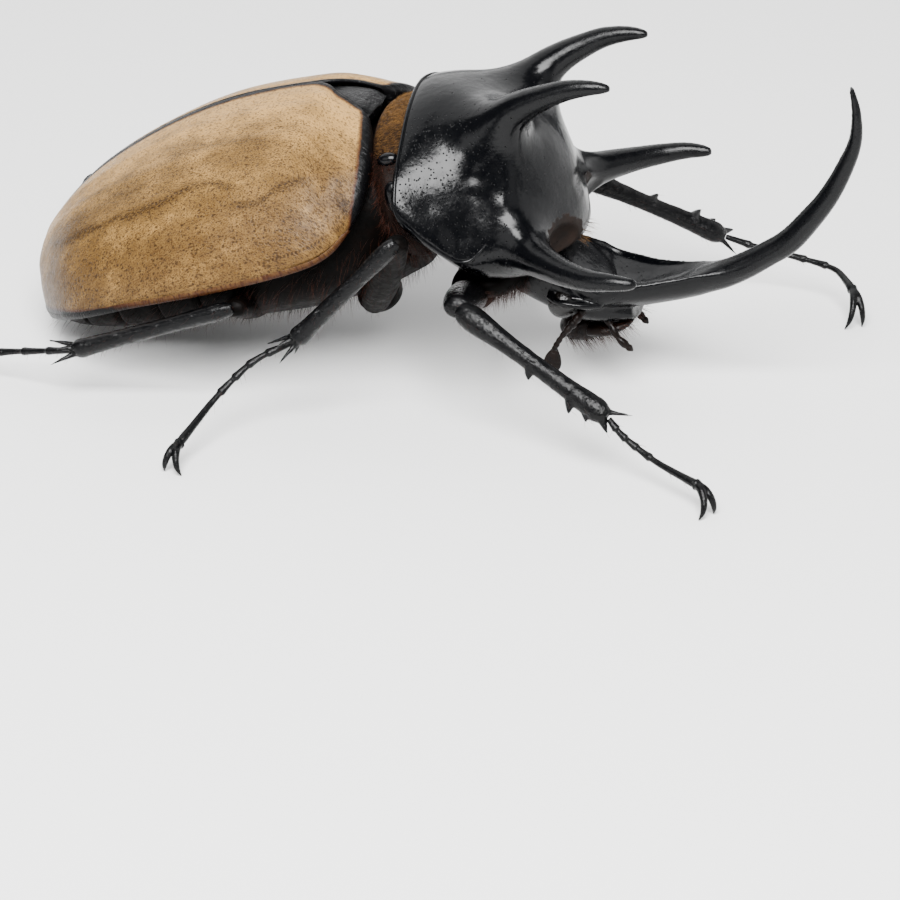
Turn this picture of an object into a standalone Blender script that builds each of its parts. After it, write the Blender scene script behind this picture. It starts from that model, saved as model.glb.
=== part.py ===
"""Male five-horned rhinoceros beetle, Eupatorus gracilicornis, standing, at life size."""
import bpy
import bmesh
import numpy as np
from math import cos, pi, radians, sin
from mathutils import Matrix, Vector

# Body sizes in millimetres: x forward, y to the beetle's left, z up, from the tip of the scutellum
MM = 0.001
BODY_PITCH = radians(15.75)
FLOOR_BELOW_SCUTELLUM = 28.5
GAP = 0.3
SHARP_EDGE = radians(50)
SHELL = 1.2
ABDOMEN_SEGMENTS = 6
BODY_SIDES = 26

# Each station: suture x, y, z, then side margin x, y, z, then roundness of the section between them
ELYTRON_STATIONS = (
    (4.6, 3.3, -2.6, 4.2, 13.7, -10.6, 1.5),
    (2.4, 1.9, -1.1, 2.0, 15.7, -12.4, 1.65),
    (-0.6, 0.16, 0.0, -1.7, 16.7, -13.0, 1.75),
    (-9.4, 0.16, -0.05, -10.3, 17.1, -13.3, 1.78),
    (-17.7, 0.16, -1.65, -18.7, 16.1, -13.6, 1.82),
    (-25.5, 0.16, -4.5, -27.2, 13.8, -14.8, 1.92),
    (-31.9, 0.16, -8.6, -33.2, 8.4, -16.1, 2.0),
    (-34.9, 0.16, -12.5, -35.5, 3.4, -16.1, 2.0),
    (-35.9, 0.16, -15.4, -36.0, 0.4, -15.9, 2.0),
)
SHOULDER_BOW = 1.5
RIM_FRONT = 0.5
RIM_REAR = 0.95
# Sideways drift of the hind body for each unit behind the scutellum
TAIL_SWING = 0.024

# Pronotum rings: x at top, side and bottom, half width, z at top, side and bottom, roundness
PRONOTUM_RINGS = (
    (10.3, 9.2, 11.5, 13.4, -1.5, -10.0, -17.5, 1.75),
    (11.6, 11.6, 12.5, 15.2, -1.3, -12.0, -18.6, 1.8),
    (14.5, 14.0, 14.5, 14.8, -1.8, -13.0, -19.2, 1.8),
    (17.5, 16.8, 17.0, 12.6, -2.8, -13.0, -19.8, 1.9),
    (20.0, 19.6, 19.8, 10.2, -4.4, -12.8, -20.4, 2.1),
    (21.9, 21.9, 22.0, 8.0, -6.6, -12.8, -20.2, 2.2),
    (23.0, 23.4, 23.4, 5.2, -9.2, -13.6, -19.6, 2.0),
    (23.5, 23.7, 23.7, 1.6, -12.6, -14.6, -17.0, 2.0),
)
# Horn paths from the root inside the pronotum out to the tip: x, y, z, half width, half height
UPPER_HORN = (
    (16.0, 4.8, -6.8, 3.6, 3.6),
    (19.3, 6.0, -5.7, 2.8, 2.9),
    (21.5, 6.8, -4.6, 2.0, 2.1),
    (24.3, 7.7, -3.5, 1.4, 1.5),
    (27.1, 8.3, -2.75, 1.15, 1.2),
    (29.8, 8.6, -2.5, 0.9, 0.9),
    (31.6, 8.5, -2.7, 0.65, 0.62),
    (32.4, 8.5, -2.9, 0.3, 0.3),
)
LOWER_HORN = (
    (16.2, 6.4, -15.2, 3.6, 3.6),
    (19.2, 8.8, -15.9, 2.6, 2.6),
    (21.8, 11.6, -16.5, 1.7, 1.7),
    (24.6, 14.2, -17.2, 1.25, 1.25),
    (27.5, 16.0, -17.9, 1.1, 1.1),
    (30.2, 16.9, -18.4, 0.85, 0.85),
    (32.2, 17.0, -18.9, 0.55, 0.55),
    (32.9, 16.8, -19.0, 0.25, 0.25),
)
HORN_CUTS = ((22.9, 7.25, -4.0), (22.9, 12.6, -16.8))
CUT_SIZE = 9.0
# Upper horns end above this height and lower ones below it
HORNS_PARTED_AT = -10.0
VOXEL = 0.5
PRONOTUM_FACES = 2550

# Head horn stations: x, z of the middle, half width, height above and below
HEAD_HORN = (
    (24.2, -24.6, 5.3, 0.6, 2.9),
    (26.0, -25.0, 4.65, 0.25, 2.9),
    (28.0, -25.3, 3.75, 0.1, 2.9),
    (30.0, -25.5, 3.0, 0.1, 2.8),
    (32.0, -25.6, 2.4, 0.2, 2.7),
    (34.0, -25.7, 1.95, 0.5, 2.5),
    (36.3, -26.0, 1.6, 1.0, 1.9),
    (38.5, -25.9, 1.45, 1.3, 1.35),
    (41.0, -25.1, 1.35, 1.25, 1.2),
    (43.6, -24.0, 1.25, 1.2, 1.2),
    (46.2, -22.1, 1.15, 1.1, 1.1),
    (48.7, -19.9, 1.0, 0.95, 0.95),
    (51.0, -17.1, 0.85, 0.8, 0.8),
    (52.5, -14.7, 0.68, 0.62, 0.62),
    (53.3, -12.1, 0.5, 0.45, 0.45),
    (53.4, -9.9, 0.3, 0.28, 0.28),
    (53.3, -9.2, 0.12, 0.12, 0.12),
)

# Joints of the legs in millimetres above the ground, with x and y from under the scutellum's tip
LEGS = {
    "front_right": dict(
        hip=(17.6, -6.5, 10.6), knee=(19.2, -17.0, 13.7), ankle=(35.5, -21.7, 6.3), edge=(-0.4, -0.5, -0.8),
        toe=((36.9, -22.1, 5.0), (38.5, -22.2, 3.8), (41.2, -23.4, 2.9), (45.4, -26.0, 2.6)), hook=-0.5),
    "front_left": dict(
        hip=(17.6, 6.5, 10.6), knee=(21.8, 17.9, 14.5), ankle=(37.1, 23.9, 6.5), edge=(0.0, 0.8, 0.6),
        toe=((40.9, 24.8, 5.2), (45.6, 24.8, 4.5), (49.4, 23.7, 4.1), (51.7, 20.8, 3.4)), hook=-0.8),
    "middle_right": dict(
        hip=(7.6, -7.0, 8.2), knee=(13.2, -17.0, 20.1), ankle=(3.5, -20.0, 9.5), edge=(-0.36, -0.78, 0.5),
        toe=((0.3, -21.8, 8.0), (-1.6, -23.3, 6.4), (-3.3, -25.9, 4.5), (-4.8, -31.2, 2.4)), hook=0.4),
    "middle_left": dict(
        hip=(7.6, 7.0, 8.2), knee=(12.0, 18.6, 18.6), ankle=(2.4, 24.0, 7.6), edge=(-0.36, 0.78, 0.5),
        toe=((0.1, 26.0, 5.8), (-2.0, 28.2, 4.2), (-4.6, 31.0, 3.0), (-8.6, 34.4, 2.4)), hook=0.4),
    "hind_right": dict(
        hip=(-5.0, -6.2, 6.4), knee=(-3.4, -18.0, 11.3), ankle=(-19.9, -20.0, 5.4), edge=(-0.1, -0.75, 0.65),
        toe=((-24.3, -19.1, 4.3), (-28.6, -18.4, 3.3), (-32.4, -19.2, 2.7), (-37.2, -22.0, 2.4)), hook=0.4),
    "hind_left": dict(
        hip=(-5.0, 6.2, 6.4), knee=(-4.4, 18.4, 10.6), ankle=(-20.8, 22.4, 4.9), edge=(-0.1, 0.75, 0.65),
        toe=((-24.6, 23.4, 3.9), (-28.4, 24.6, 3.0), (-32.4, 26.6, 2.6), (-36.9, 29.9, 2.4)), hook=0.4),
}
# Teeth of the shin: place along it, length, lean towards the foot; a minus length is on the inner edge
FRONT_TEETH = ((0.53, 0.8, 0.1), (0.78, 1.1, 0.2), (0.95, 1.3, 0.35), (0.955, -0.9, 1.1))
BACK_TEETH = ((0.42, 0.4, 0.5), (0.66, 0.6, 0.5), (0.955, 1.1, 1.2), (0.95, -1.1, 1.1))
SPUR_LENGTH = 2.8

BLACK = (0.012, 0.012, 0.013, 1.0)
DARK_RED = (0.05, 0.016, 0.01, 1.0)
TAN = (0.47, 0.29, 0.13, 1.0)
AMBER = (0.2, 0.07, 0.02, 1.0)


def clear_scene():
    for old in list(bpy.data.objects):
        bpy.data.objects.remove(old, do_unlink=True)


def material(name, colour, roughness):
    made = bpy.data.materials.new(name)
    made.use_nodes = True
    shader = made.node_tree.nodes["Principled BSDF"]
    shader.inputs["Base Color"].default_value = colour
    shader.inputs["Roughness"].default_value = roughness
    shader.inputs["Metallic"].default_value = 0.0
    return made


def smooth_path(points, count):
    """Points on a Catmull-Rom curve through the given rows, with any further columns carried along."""
    rows = np.array(points, float)
    rows = np.vstack((2 * rows[0] - rows[1], rows, 2 * rows[-1] - rows[-2]))
    spans = len(rows) - 3
    out = []
    for place in np.linspace(0, spans, count):
        i = min(int(place), spans - 1)
        t = place - i
        a, b, c, d = rows[i:i + 4]
        bend = 2 * b + (c - a) * t + (2 * a - 5 * b + 4 * c - d) * t * t
        out.append((bend + (3 * b - a - 3 * c + d) * t ** 3) / 2)
    return np.array(out)


def add_object(name, bm):
    mesh = bpy.data.meshes.new(name)
    bmesh.ops.recalc_face_normals(bm, faces=bm.faces)
    if bm.calc_volume(signed=True) < 0:
        bmesh.ops.reverse_faces(bm, faces=bm.faces)
    bm.to_mesh(mesh)
    bm.free()
    made = bpy.data.objects.new(name, mesh)
    bpy.context.scene.collection.objects.link(made)
    return made


def loft(name, rings):
    """A closed body through rings of equally many points, its two ends capped."""
    bm = bmesh.new()
    loops = [[bm.verts.new(point) for point in ring] for ring in rings]
    for near, far in zip(loops, loops[1:]):
        for i in range(len(near)):
            j = (i + 1) % len(near)
            bm.faces.new((near[i], near[j], far[j], far[i]))
    bm.faces.new(loops[0])
    bm.faces.new(loops[-1])
    return add_object(name, bm)


def tube(name, rows, sides=8, up=(0, 0, 1)):
    """A tapering limb along rows of x, y, z, half width, half height."""
    rows = np.array(rows, float)
    ways = np.gradient(rows[:, :3], axis=0)
    rings = []
    for row, way in zip(rows, ways):
        ahead = Vector(way).normalized()
        across = Vector(up).cross(ahead).normalized()
        above = ahead.cross(across)
        ring = []
        for k in range(sides):
            turn = 2 * pi * (k + 0.5) / sides
            ring.append(Vector(row[:3]) + across * row[3] * cos(turn) + above * row[4] * sin(turn))
        rings.append(ring)
    return loft(name, rings)


def ball(name, centre, radii, rings=8, turn=None):
    bm = bmesh.new()
    bmesh.ops.create_uvsphere(bm, u_segments=2 * rings, v_segments=rings, radius=1.0)
    shape = Matrix.Diagonal((*radii, 1.0))
    if turn:
        shape = turn @ shape
    bm.transform(Matrix.Translation(centre) @ shape)
    return add_object(name, bm)


def evaluated(target):
    """Applies the modifiers of an object."""
    bpy.context.view_layer.update()
    graph = bpy.context.evaluated_depsgraph_get()
    mesh = bpy.data.meshes.new_from_object(target.evaluated_get(graph), depsgraph=graph)
    target.modifiers.clear()
    target.data = mesh
    return target


def surfaces(bm):
    """The vertices of each separate closed surface, the widest one last."""
    found = []
    left = set(bm.verts)
    while left:
        stack = [left.pop()]
        part = set(stack)
        while stack:
            for edge in stack.pop().link_edges:
                fresh = left.intersection(edge.verts)
                left -= fresh
                part |= fresh
                stack.extend(fresh)
        found.append(part)
    return sorted(found, key=spread)


def spread(verts):
    places = np.array([vert.co for vert in verts])
    return float(np.prod(places.max(axis=0) - places.min(axis=0) + 1e-6))


def keep_largest(target):
    bm = bmesh.new()
    bm.from_mesh(target.data)
    for part in surfaces(bm)[:-1]:
        bmesh.ops.delete(bm, geom=list(part), context="VERTS")
    bm.to_mesh(target.data)
    bm.free()
    return target


def union(name, pieces):
    """One closed body from overlapping pieces."""
    base, rest = pieces[0], pieces[1:]
    group = bpy.data.collections.new(name + "_pieces")
    for piece in rest:
        bpy.context.scene.collection.objects.unlink(piece)
        group.objects.link(piece)
    join = base.modifiers.new("join", "BOOLEAN")
    join.operand_type = "COLLECTION"
    join.collection = group
    join.operation = "UNION"
    join.solver = "EXACT"
    evaluated(base)
    for piece in rest:
        bpy.data.objects.remove(piece, do_unlink=True)
    bpy.data.collections.remove(group)
    base.name = name
    return keep_largest(base)


def carve(target, neighbour, gap=GAP):
    """Cuts the neighbour's shape, grown by the gap, out of the target."""
    cutter = neighbour.copy()
    cutter.data = neighbour.data.copy()
    bpy.context.scene.collection.objects.link(cutter)
    swell = cutter.modifiers.new("swell", "DISPLACE")
    swell.mid_level = 0.0
    swell.strength = gap
    evaluated(cutter)
    cut = target.modifiers.new("cut", "BOOLEAN")
    cut.operation = "DIFFERENCE"
    cut.solver = "EXACT"
    cut.object = cutter
    evaluated(target)
    bpy.data.objects.remove(cutter, do_unlink=True)
    return keep_largest(target)


def slab(centre, normal, size, thickness):
    """A thin square plate across a limb."""
    bm = bmesh.new()
    bmesh.ops.create_cube(bm, size=1.0)
    turn = Vector(normal).to_track_quat("Z", "Y").to_matrix().to_4x4()
    shape = Matrix.Diagonal((size, size, thickness, 1.0))
    bm.transform(Matrix.Translation(centre) @ turn @ shape)
    return add_object("slab", bm)


def difference(target, cutter):
    cut = target.modifiers.new("cut", "BOOLEAN")
    cut.operation = "DIFFERENCE"
    cut.solver = "EXACT"
    cut.object = cutter
    evaluated(target)
    bpy.data.objects.remove(cutter, do_unlink=True)
    return target


def loose_parts(target):
    """The separate closed surfaces of an object, each as an object of its own, the widest one last."""
    whole = bmesh.new()
    whole.from_mesh(target.data)
    kept = [{vert.index for vert in part} for part in surfaces(whole)]
    whole.free()
    made = []
    for keep in kept:
        bm = bmesh.new()
        bm.from_mesh(target.data)
        gone = [vert for vert in bm.verts if vert.index not in keep]
        bmesh.ops.delete(bm, geom=gone, context="VERTS")
        made.append(add_object("part", bm))
    bpy.data.objects.remove(target, do_unlink=True)
    return made


def section(suture, margin, roundness, count):
    """An arc in a rounded quarter section from the suture down to the side margin."""
    arc = []
    for k in range(count):
        turn = 0.5 * pi * k / (count - 1)
        out = sin(turn) ** (2 / roundness)
        high = cos(turn) ** (2 / roundness) if k < count - 1 else 0.0
        x = suture[0] + (margin[0] - suture[0]) * out
        y = suture[1] + (margin[1] - suture[1]) * out
        z = margin[2] + (suture[2] - margin[2]) * high
        arc.append(Vector((x, y, z)))
    return arc


def elytron(side):
    rows = smooth_path(ELYTRON_STATIONS, 19)
    ways = np.gradient(rows[:, 3:5], axis=0)
    rings = []
    for k, row in enumerate(rows):
        suture, margin, roundness = row[:3], row[3:6], row[6]
        along = k / (len(rows) - 1)
        bow = SHOULDER_BOW * max(0.0, 1 - along / 0.18) ** 2
        outer = section(suture, margin, roundness, 10)
        for i, point in enumerate(outer):
            point.x += bow * sin(pi * i / (len(outer) - 1))
        wide = max(margin[1] - suture[1], 0.7)
        thick = min(SHELL, wide * 0.35)
        rim = RIM_FRONT + (RIM_REAR - RIM_FRONT) * along
        out = Vector((ways[k][1], -ways[k][0], 0)).normalized() * rim
        brink = outer[-1] + out * 0.6 - Vector((0, 0, rim * 0.6))
        under = outer[-1] + out * 0.35 - Vector((0, 0, rim * 0.6 + 0.5))
        inner_suture = (suture[0], suture[1], suture[2] - thick)
        inner_margin = (margin[0], margin[1] - thick, margin[2] - 0.3)
        inner = section(inner_suture, inner_margin, roundness, 7)
        for i, point in enumerate(inner):
            point.x += bow * sin(pi * i / (len(inner) - 1))
        ring = outer + [brink, under] + inner[::-1]
        rings.append([Vector((p.x, p.y * side, p.z)) for p in ring])
    return loft("elytron_" + ("left" if side > 0 else "right"), rings)


def ring_of(row, count):
    """A closed rounded ring from x at top, side and bottom, half width, z at each, roundness."""
    x_top, x_side, x_low, wide, z_top, z_side, z_low, roundness = row
    ring = []
    for k in range(count):
        turn = 2 * pi * (k + 0.5) / count
        out = np.sign(cos(turn)) * abs(cos(turn)) ** (2 / roundness)
        high = abs(sin(turn)) ** (2 / roundness)
        if sin(turn) > 0:
            x = x_side + (x_top - x_side) * high
            z = z_side + (z_top - z_side) * high
        else:
            x = x_side + (x_low - x_side) * high
            z = z_side + (z_low - z_side) * high
        ring.append((x, wide * out, z))
    return ring


def mirrored(rows, side):
    return [(row[0], row[1] * side, *row[2:]) for row in rows]


def prothorax():
    """The pronotum with its four horns, smoothed as one and then parted by thin cuts."""
    rings = [ring_of(row, 32) for row in smooth_path(PRONOTUM_RINGS, 15)]
    base = loft("pronotum", rings)
    pieces = []
    for side in (1, -1):
        for path in (UPPER_HORN, LOWER_HORN):
            pieces.append(tube("horn", smooth_path(mirrored(path, side), 22), 16))
    whole = union("pronotum", [base] + pieces)
    remesh = whole.modifiers.new("even", "REMESH")
    remesh.mode = "VOXEL"
    remesh.voxel_size = VOXEL
    soften = whole.modifiers.new("soften", "SMOOTH")
    soften.factor = 0.5
    soften.iterations = 8
    evaluated(whole)
    thin = whole.modifiers.new("thin", "DECIMATE")
    thin.ratio = PRONOTUM_FACES / (2 * len(whole.data.polygons))
    evaluated(whole)
    for side in (1, -1):
        for path, cut in zip((UPPER_HORN, LOWER_HORN), HORN_CUTS):
            rows = np.array(path)[:, :3]
            place = Vector((cut[0], cut[1] * side, cut[2]))
            at = int(np.argmin(np.linalg.norm(rows - np.array(cut), axis=1)))
            way = rows[at + 1] - rows[at - 1]
            difference(whole, slab(place, (way[0], way[1] * side, way[2]), CUT_SIZE, GAP))
    *horns, base = loose_parts(whole)
    base.name = "pronotum"
    named = {"pronotum": base}
    for part in horns:
        tip = max((vert.co for vert in part.data.vertices), key=lambda place: place.x)
        where = "upper" if tip.z > HORNS_PARTED_AT else "lower"
        part.name = f"horn_{where}_" + ("left" if tip.y > 0 else "right")
        named[part.name] = part
    return named


def head_horn():
    rings = []
    rows = smooth_path(HEAD_HORN, 29)
    for row, way in zip(rows, np.gradient(rows[:, :2], axis=0)):
        x, z, wide, above, below = row
        length = max(np.hypot(*way), 1e-6)
        lean = Vector((-way[1] / length, 0, way[0] / length))
        ring = []
        for k in range(12):
            turn = 2 * pi * (k + 0.5) / 12
            tall = above if sin(turn) > 0 else below
            place = Vector((x, wide * cos(turn), z)) + lean * tall * sin(turn)
            ring.append(place)
        rings.append(ring)
    return loft("head_horn", rings)


def head():
    """The head capsule behind the horn, deepest between the eyes."""
    rows = (
        (15.5, 15.5, 15.5, 3.6, -18.0, -21.0, -24.4, 2.2),
        (18.5, 18.5, 18.5, 4.8, -18.8, -22.6, -26.6, 2.4),
        (21.5, 21.5, 21.5, 5.5, -19.8, -24.0, -28.2, 2.6),
        (23.2, 23.2, 23.2, 5.6, -20.9, -24.8, -28.4, 2.6),
        (24.2, 24.2, 24.2, 5.0, -22.6, -25.2, -27.6, 2.4),
    )
    return loft("head", [ring_of(row, 20) for row in smooth_path(rows, 9)])


def feelers(side):
    """An antenna with its three-leaved club and a palp of one side."""
    name = "left" if side > 0 else "right"
    stalk = [(22.6, 4.6, -26.2, 0.45, 0.45), (21.6, 6.0, -27.0, 0.5, 0.5), (20.4, 6.6, -27.9, 0.32, 0.32),
             (19.4, 6.7, -28.9, 0.34, 0.34), (18.9, 6.6, -29.6, 0.3, 0.3)]
    pieces = [tube("stalk", smooth_path(mirrored(stalk, side), 9), 6)]
    for k in range(3):
        fan = 0.55 * (k - 1)
        leaf = [(19.1 + fan * 0.3, 6.6, -29.3, 0.22, 0.2), (18.6 + fan, 6.5, -30.4, 0.3, 0.5),
                (18.0 + fan * 1.3, 6.3, -31.6, 0.3, 0.55), (17.7 + fan * 1.4, 6.2, -32.2, 0.15, 0.2)]
        pieces.append(tube("leaf", smooth_path(mirrored(leaf, side), 4), 5, up=(1, 0, 0.2)))
    antenna = union("antenna_" + name, pieces)
    rows = [(23.6, 2.6, -27.6, 0.4, 0.4), (24.4, 3.3, -28.9, 0.42, 0.42), (24.9, 3.6, -30.2, 0.36, 0.36),
            (25.6, 3.5, -31.3, 0.45, 0.45), (26.0, 3.4, -31.9, 0.15, 0.15)]
    palp = tube("palp_" + name, smooth_path(mirrored(rows, side), 10), 6)
    return antenna, palp


def belly():
    """The thorax under the wing cases and the abdomen with a groove between its segments."""
    rows = (
        (6.9, 6.9, 6.9, 10.8, -4.6, -11.5, -20.0, 2.1),
        (3.0, 3.0, 3.0, 12.2, -4.2, -13.0, -21.0, 2.2),
        (-2.0, -2.0, -2.0, 14.5, -2.9, -14.3, -21.2, 2.2),
        (-8.0, -8.0, -8.0, 15.0, -2.4, -14.7, -21.0, 2.2),
    )
    thorax = loft("metathorax", [ring_of(row, BODY_SIDES) for row in smooth_path(rows, 9)])
    rows = np.array((
        (-8.3, -8.3, -8.3, 15.0, -2.4, -14.7, -20.8, 2.2),
        (-14.0, -14.0, -14.0, 14.8, -3.0, -15.0, -20.6, 2.2),
        (-20.0, -20.0, -20.0, 13.7, -4.5, -15.5, -20.2, 2.2),
        (-26.0, -26.0, -26.0, 11.6, -7.2, -16.3, -19.8, 2.2),
        (-31.0, -31.0, -31.0, 8.1, -11.0, -17.1, -19.4, 2.1),
        (-34.2, -34.2, -34.2, 3.8, -15.0, -17.3, -18.6, 2.0),
    ))
    fine = smooth_path(rows, 121)
    rings = []
    for first in range(ABDOMEN_SEGMENTS):
        for t, share in ((0.03, 0.96), (0.14, 1.0), (0.92, 1.0)):
            row = fine[int(round(120 * (first + t) / ABDOMEN_SEGMENTS))].copy()
            row[3] *= share
            row[6] = row[5] + (row[6] - row[5]) * share
            rings.append(ring_of(row, BODY_SIDES))
    return thorax, loft("abdomen", rings)


def neck_ring():
    rows = (
        (6.3, 7.4, 7.4, 11.4, -3.3, -11.0, -18.6, 2.0),
        (8.0, 8.2, 8.6, 12.0, -3.2, -11.0, -18.6, 2.0),
        (9.9, 8.9, 10.6, 11.6, -3.4, -10.6, -18.0, 2.0),
    )
    return loft("mesothorax", [ring_of(row, BODY_SIDES) for row in rows])


def scutellum():
    rows = (
        (0.3, 0.3, 0.3, 0.12, -0.25, -0.55, -1.0, 2.0),
        (1.6, 1.6, 1.6, 1.0, -0.45, -0.95, -1.6, 2.2),
        (3.0, 3.0, 3.0, 1.95, -0.85, -1.5, -2.3, 2.4),
        (4.5, 4.5, 4.5, 2.9, -1.6, -2.4, -3.4, 2.4),
        (5.9, 5.3, 5.6, 3.1, -2.6, -3.4, -4.2, 2.4),
    )
    return loft("scutellum", [ring_of(row, 12) for row in smooth_path(rows, 9)])


def prosternum():
    return ball("prosternum", (14.2, 0, -21.2), (4.6, 8.5, 2.6), 8)


def spine(base, tip, radius):
    """A tapering tooth from inside the limb out to its tip."""
    rows = []
    for t, share in ((0.0, 1.0), (0.6, 0.7), (1.0, 0.12)):
        rows.append((*(base + (tip - base) * t), radius * share, radius * share))
    return tube("spine", rows, 5, up=(0.3, 0.2, 1))


def shin(name, knee, ankle, edge, front):
    """The tibia with its outer teeth, inner tooth and spurs at the foot end."""
    run = (ankle - knee) / np.linalg.norm(ankle - knee)
    edge = edge - run * np.dot(edge, run)
    edge = edge / np.linalg.norm(edge)
    start = knee + run * 0.2
    rows = []
    for t, wide in ((0, 0.75), (0.04, 1.1), (0.15, 1.2), (0.5, 1.3), (0.8, 1.5), (0.95, 1.75), (1.0, 1.2)):
        rows.append((*(start + (ankle - start) * t), wide * 0.72, wide))
    pieces = [tube("tibia_" + name, smooth_path(rows, 10), 9, up=tuple(edge))]
    for t, length, lean in FRONT_TEETH if front else BACK_TEETH:
        base = start + (ankle - start) * t
        way = edge * np.sign(length) + run * lean
        pieces.append(spine(base, base + way * (1.35 + abs(length)), 0.75))
    if not front:
        aside = np.cross(run, edge)
        for sway in (0.35, -0.35):
            base = ankle - run * 0.5 + aside * sway
            pieces.append(spine(base, base + (run + edge * 0.5 + aside * sway) * SPUR_LENGTH, 0.42))
    return union("tibia_" + name, pieces), run


def foot(name, path):
    """Five tarsal joints, each swelling towards its far end and narrow at the next one's root."""
    steps = np.linspace(0, 1, len(path))
    bounds = (0.0, 0.19, 0.36, 0.52, 0.67, 1.0)
    rows = []
    for first, last in zip(bounds, bounds[1:]):
        for t, half in ((0.02, 0.38), (0.55, 0.62), (0.9, 0.78), (0.98, 0.48)):
            at = first + (last - first) * t
            place = [np.interp(at, steps, path[:, i]) for i in range(3)]
            rows.append((*place, half, half * 0.9))
    return tube("tarsus_" + name, rows, 6)


def claw_pair(name, path, hook):
    """Two hooked claws that reach down to the ground from the last tarsal joint."""
    end = path[-1]
    ahead = path[-1] - path[-5]
    ahead[2] = 0
    ahead = ahead / np.linalg.norm(ahead)
    aside = np.cross((0, 0, 1), ahead)
    radius = end[2] / 1.42
    pieces = [spine(end - ahead * 0.15, end + ahead * 1.3, 0.62)]
    for spread_by in (hook + 1.0, hook - 1.0):
        rows = []
        for t, half in ((0, 0.45), (0.25, 0.42), (0.5, 0.36), (0.75, 0.27), (1.0, 0.1)):
            turn = radians(115) * t
            place = end + ahead * (0.2 + radius * sin(turn)) + aside * spread_by * t
            place[2] = end[2] - radius * (1 - cos(turn)) - 0.06 * t
            rows.append((*place, half, half))
        pieces.append(tube("claw", smooth_path(rows, 7), 5, up=tuple(aside)))
    return union("claws_" + name, pieces)


def leg(name, sizes, front):
    """Coxa, femur, tibia, tarsus and claws of one leg, in millimetres above the ground."""
    hip, knee, ankle, edge = (np.array(sizes[key], float) for key in ("hip", "knee", "ankle", "edge"))
    coxa = ball("coxa_" + name, hip * (1.0, 0.72, 1.0), (2.4, 3.6, 2.3), 7)
    thick = 1.0 if front else 0.92
    femur_rows = []
    for t, half in ((0, 1.5), (0.08, 1.9), (0.3, 2.2), (0.6, 2.0), (0.85, 1.6), (0.96, 1.35), (1.0, 0.8)):
        femur_rows.append((*(hip + (knee - hip) * t), half * thick, half * thick * 0.8))
    femur = tube("femur_" + name, smooth_path(femur_rows, 10), 10)
    carve(femur, coxa)
    tibia, run = shin(name, knee, ankle, edge, front)
    carve(femur, tibia)
    path = smooth_path(np.vstack((ankle + run * 0.2, np.array(sizes["toe"], float))), 61)
    tarsus = foot(name, path)
    carve(tibia, tarsus)
    claws = claw_pair(name, path, sizes["hook"])
    carve(claws, tarsus)
    return coxa, femur, tibia, tarsus, claws


def place_body(parts):
    """Turns body parts head up and sets their sizes to metres above the ground."""
    turn = Matrix.Rotation(-BODY_PITCH, 4, "Y")
    lift = Matrix.Translation((0, 0, FLOOR_BELOW_SCUTELLUM))
    for part in parts:
        for vert in part.data.vertices:
            vert.co.y += TAIL_SWING * min(vert.co.x, 0.0)
        part.data.transform(Matrix.Scale(MM, 4) @ lift @ turn)


def centre_on_ground(parts):
    """Moves all parts so that the middle of their box stands over the origin."""
    places = np.array([vert.co for part in parts for vert in part.data.vertices])
    middle = (places.min(axis=0) + places.max(axis=0)) / 2
    for part in parts:
        part.data.transform(Matrix.Translation((-middle[0], -middle[1], 0)))
    return middle


def place_legs(parts):
    for part in parts:
        part.data.transform(Matrix.Scale(MM, 4))


def stand_flat(part):
    """Cuts a small flat where a foot rests on the ground."""
    bm = bmesh.new()
    bm.from_mesh(part.data)
    geom = bm.verts[:] + bm.edges[:] + bm.faces[:]
    cut = bmesh.ops.bisect_plane(bm, geom=geom, plane_co=(0, 0, 0), plane_no=(0, 0, 1), clear_inner=True)
    edges = [item for item in cut["geom_cut"] if isinstance(item, bmesh.types.BMEdge)]
    if edges:
        bmesh.ops.holes_fill(bm, edges=edges, sides=0)
    bm.to_mesh(part.data)
    bm.free()


def finish(part, look):
    part.data.materials.clear()
    part.data.materials.append(look)
    part.data.shade_smooth()
    part.data.set_sharp_from_angle(angle=SHARP_EDGE)


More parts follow.
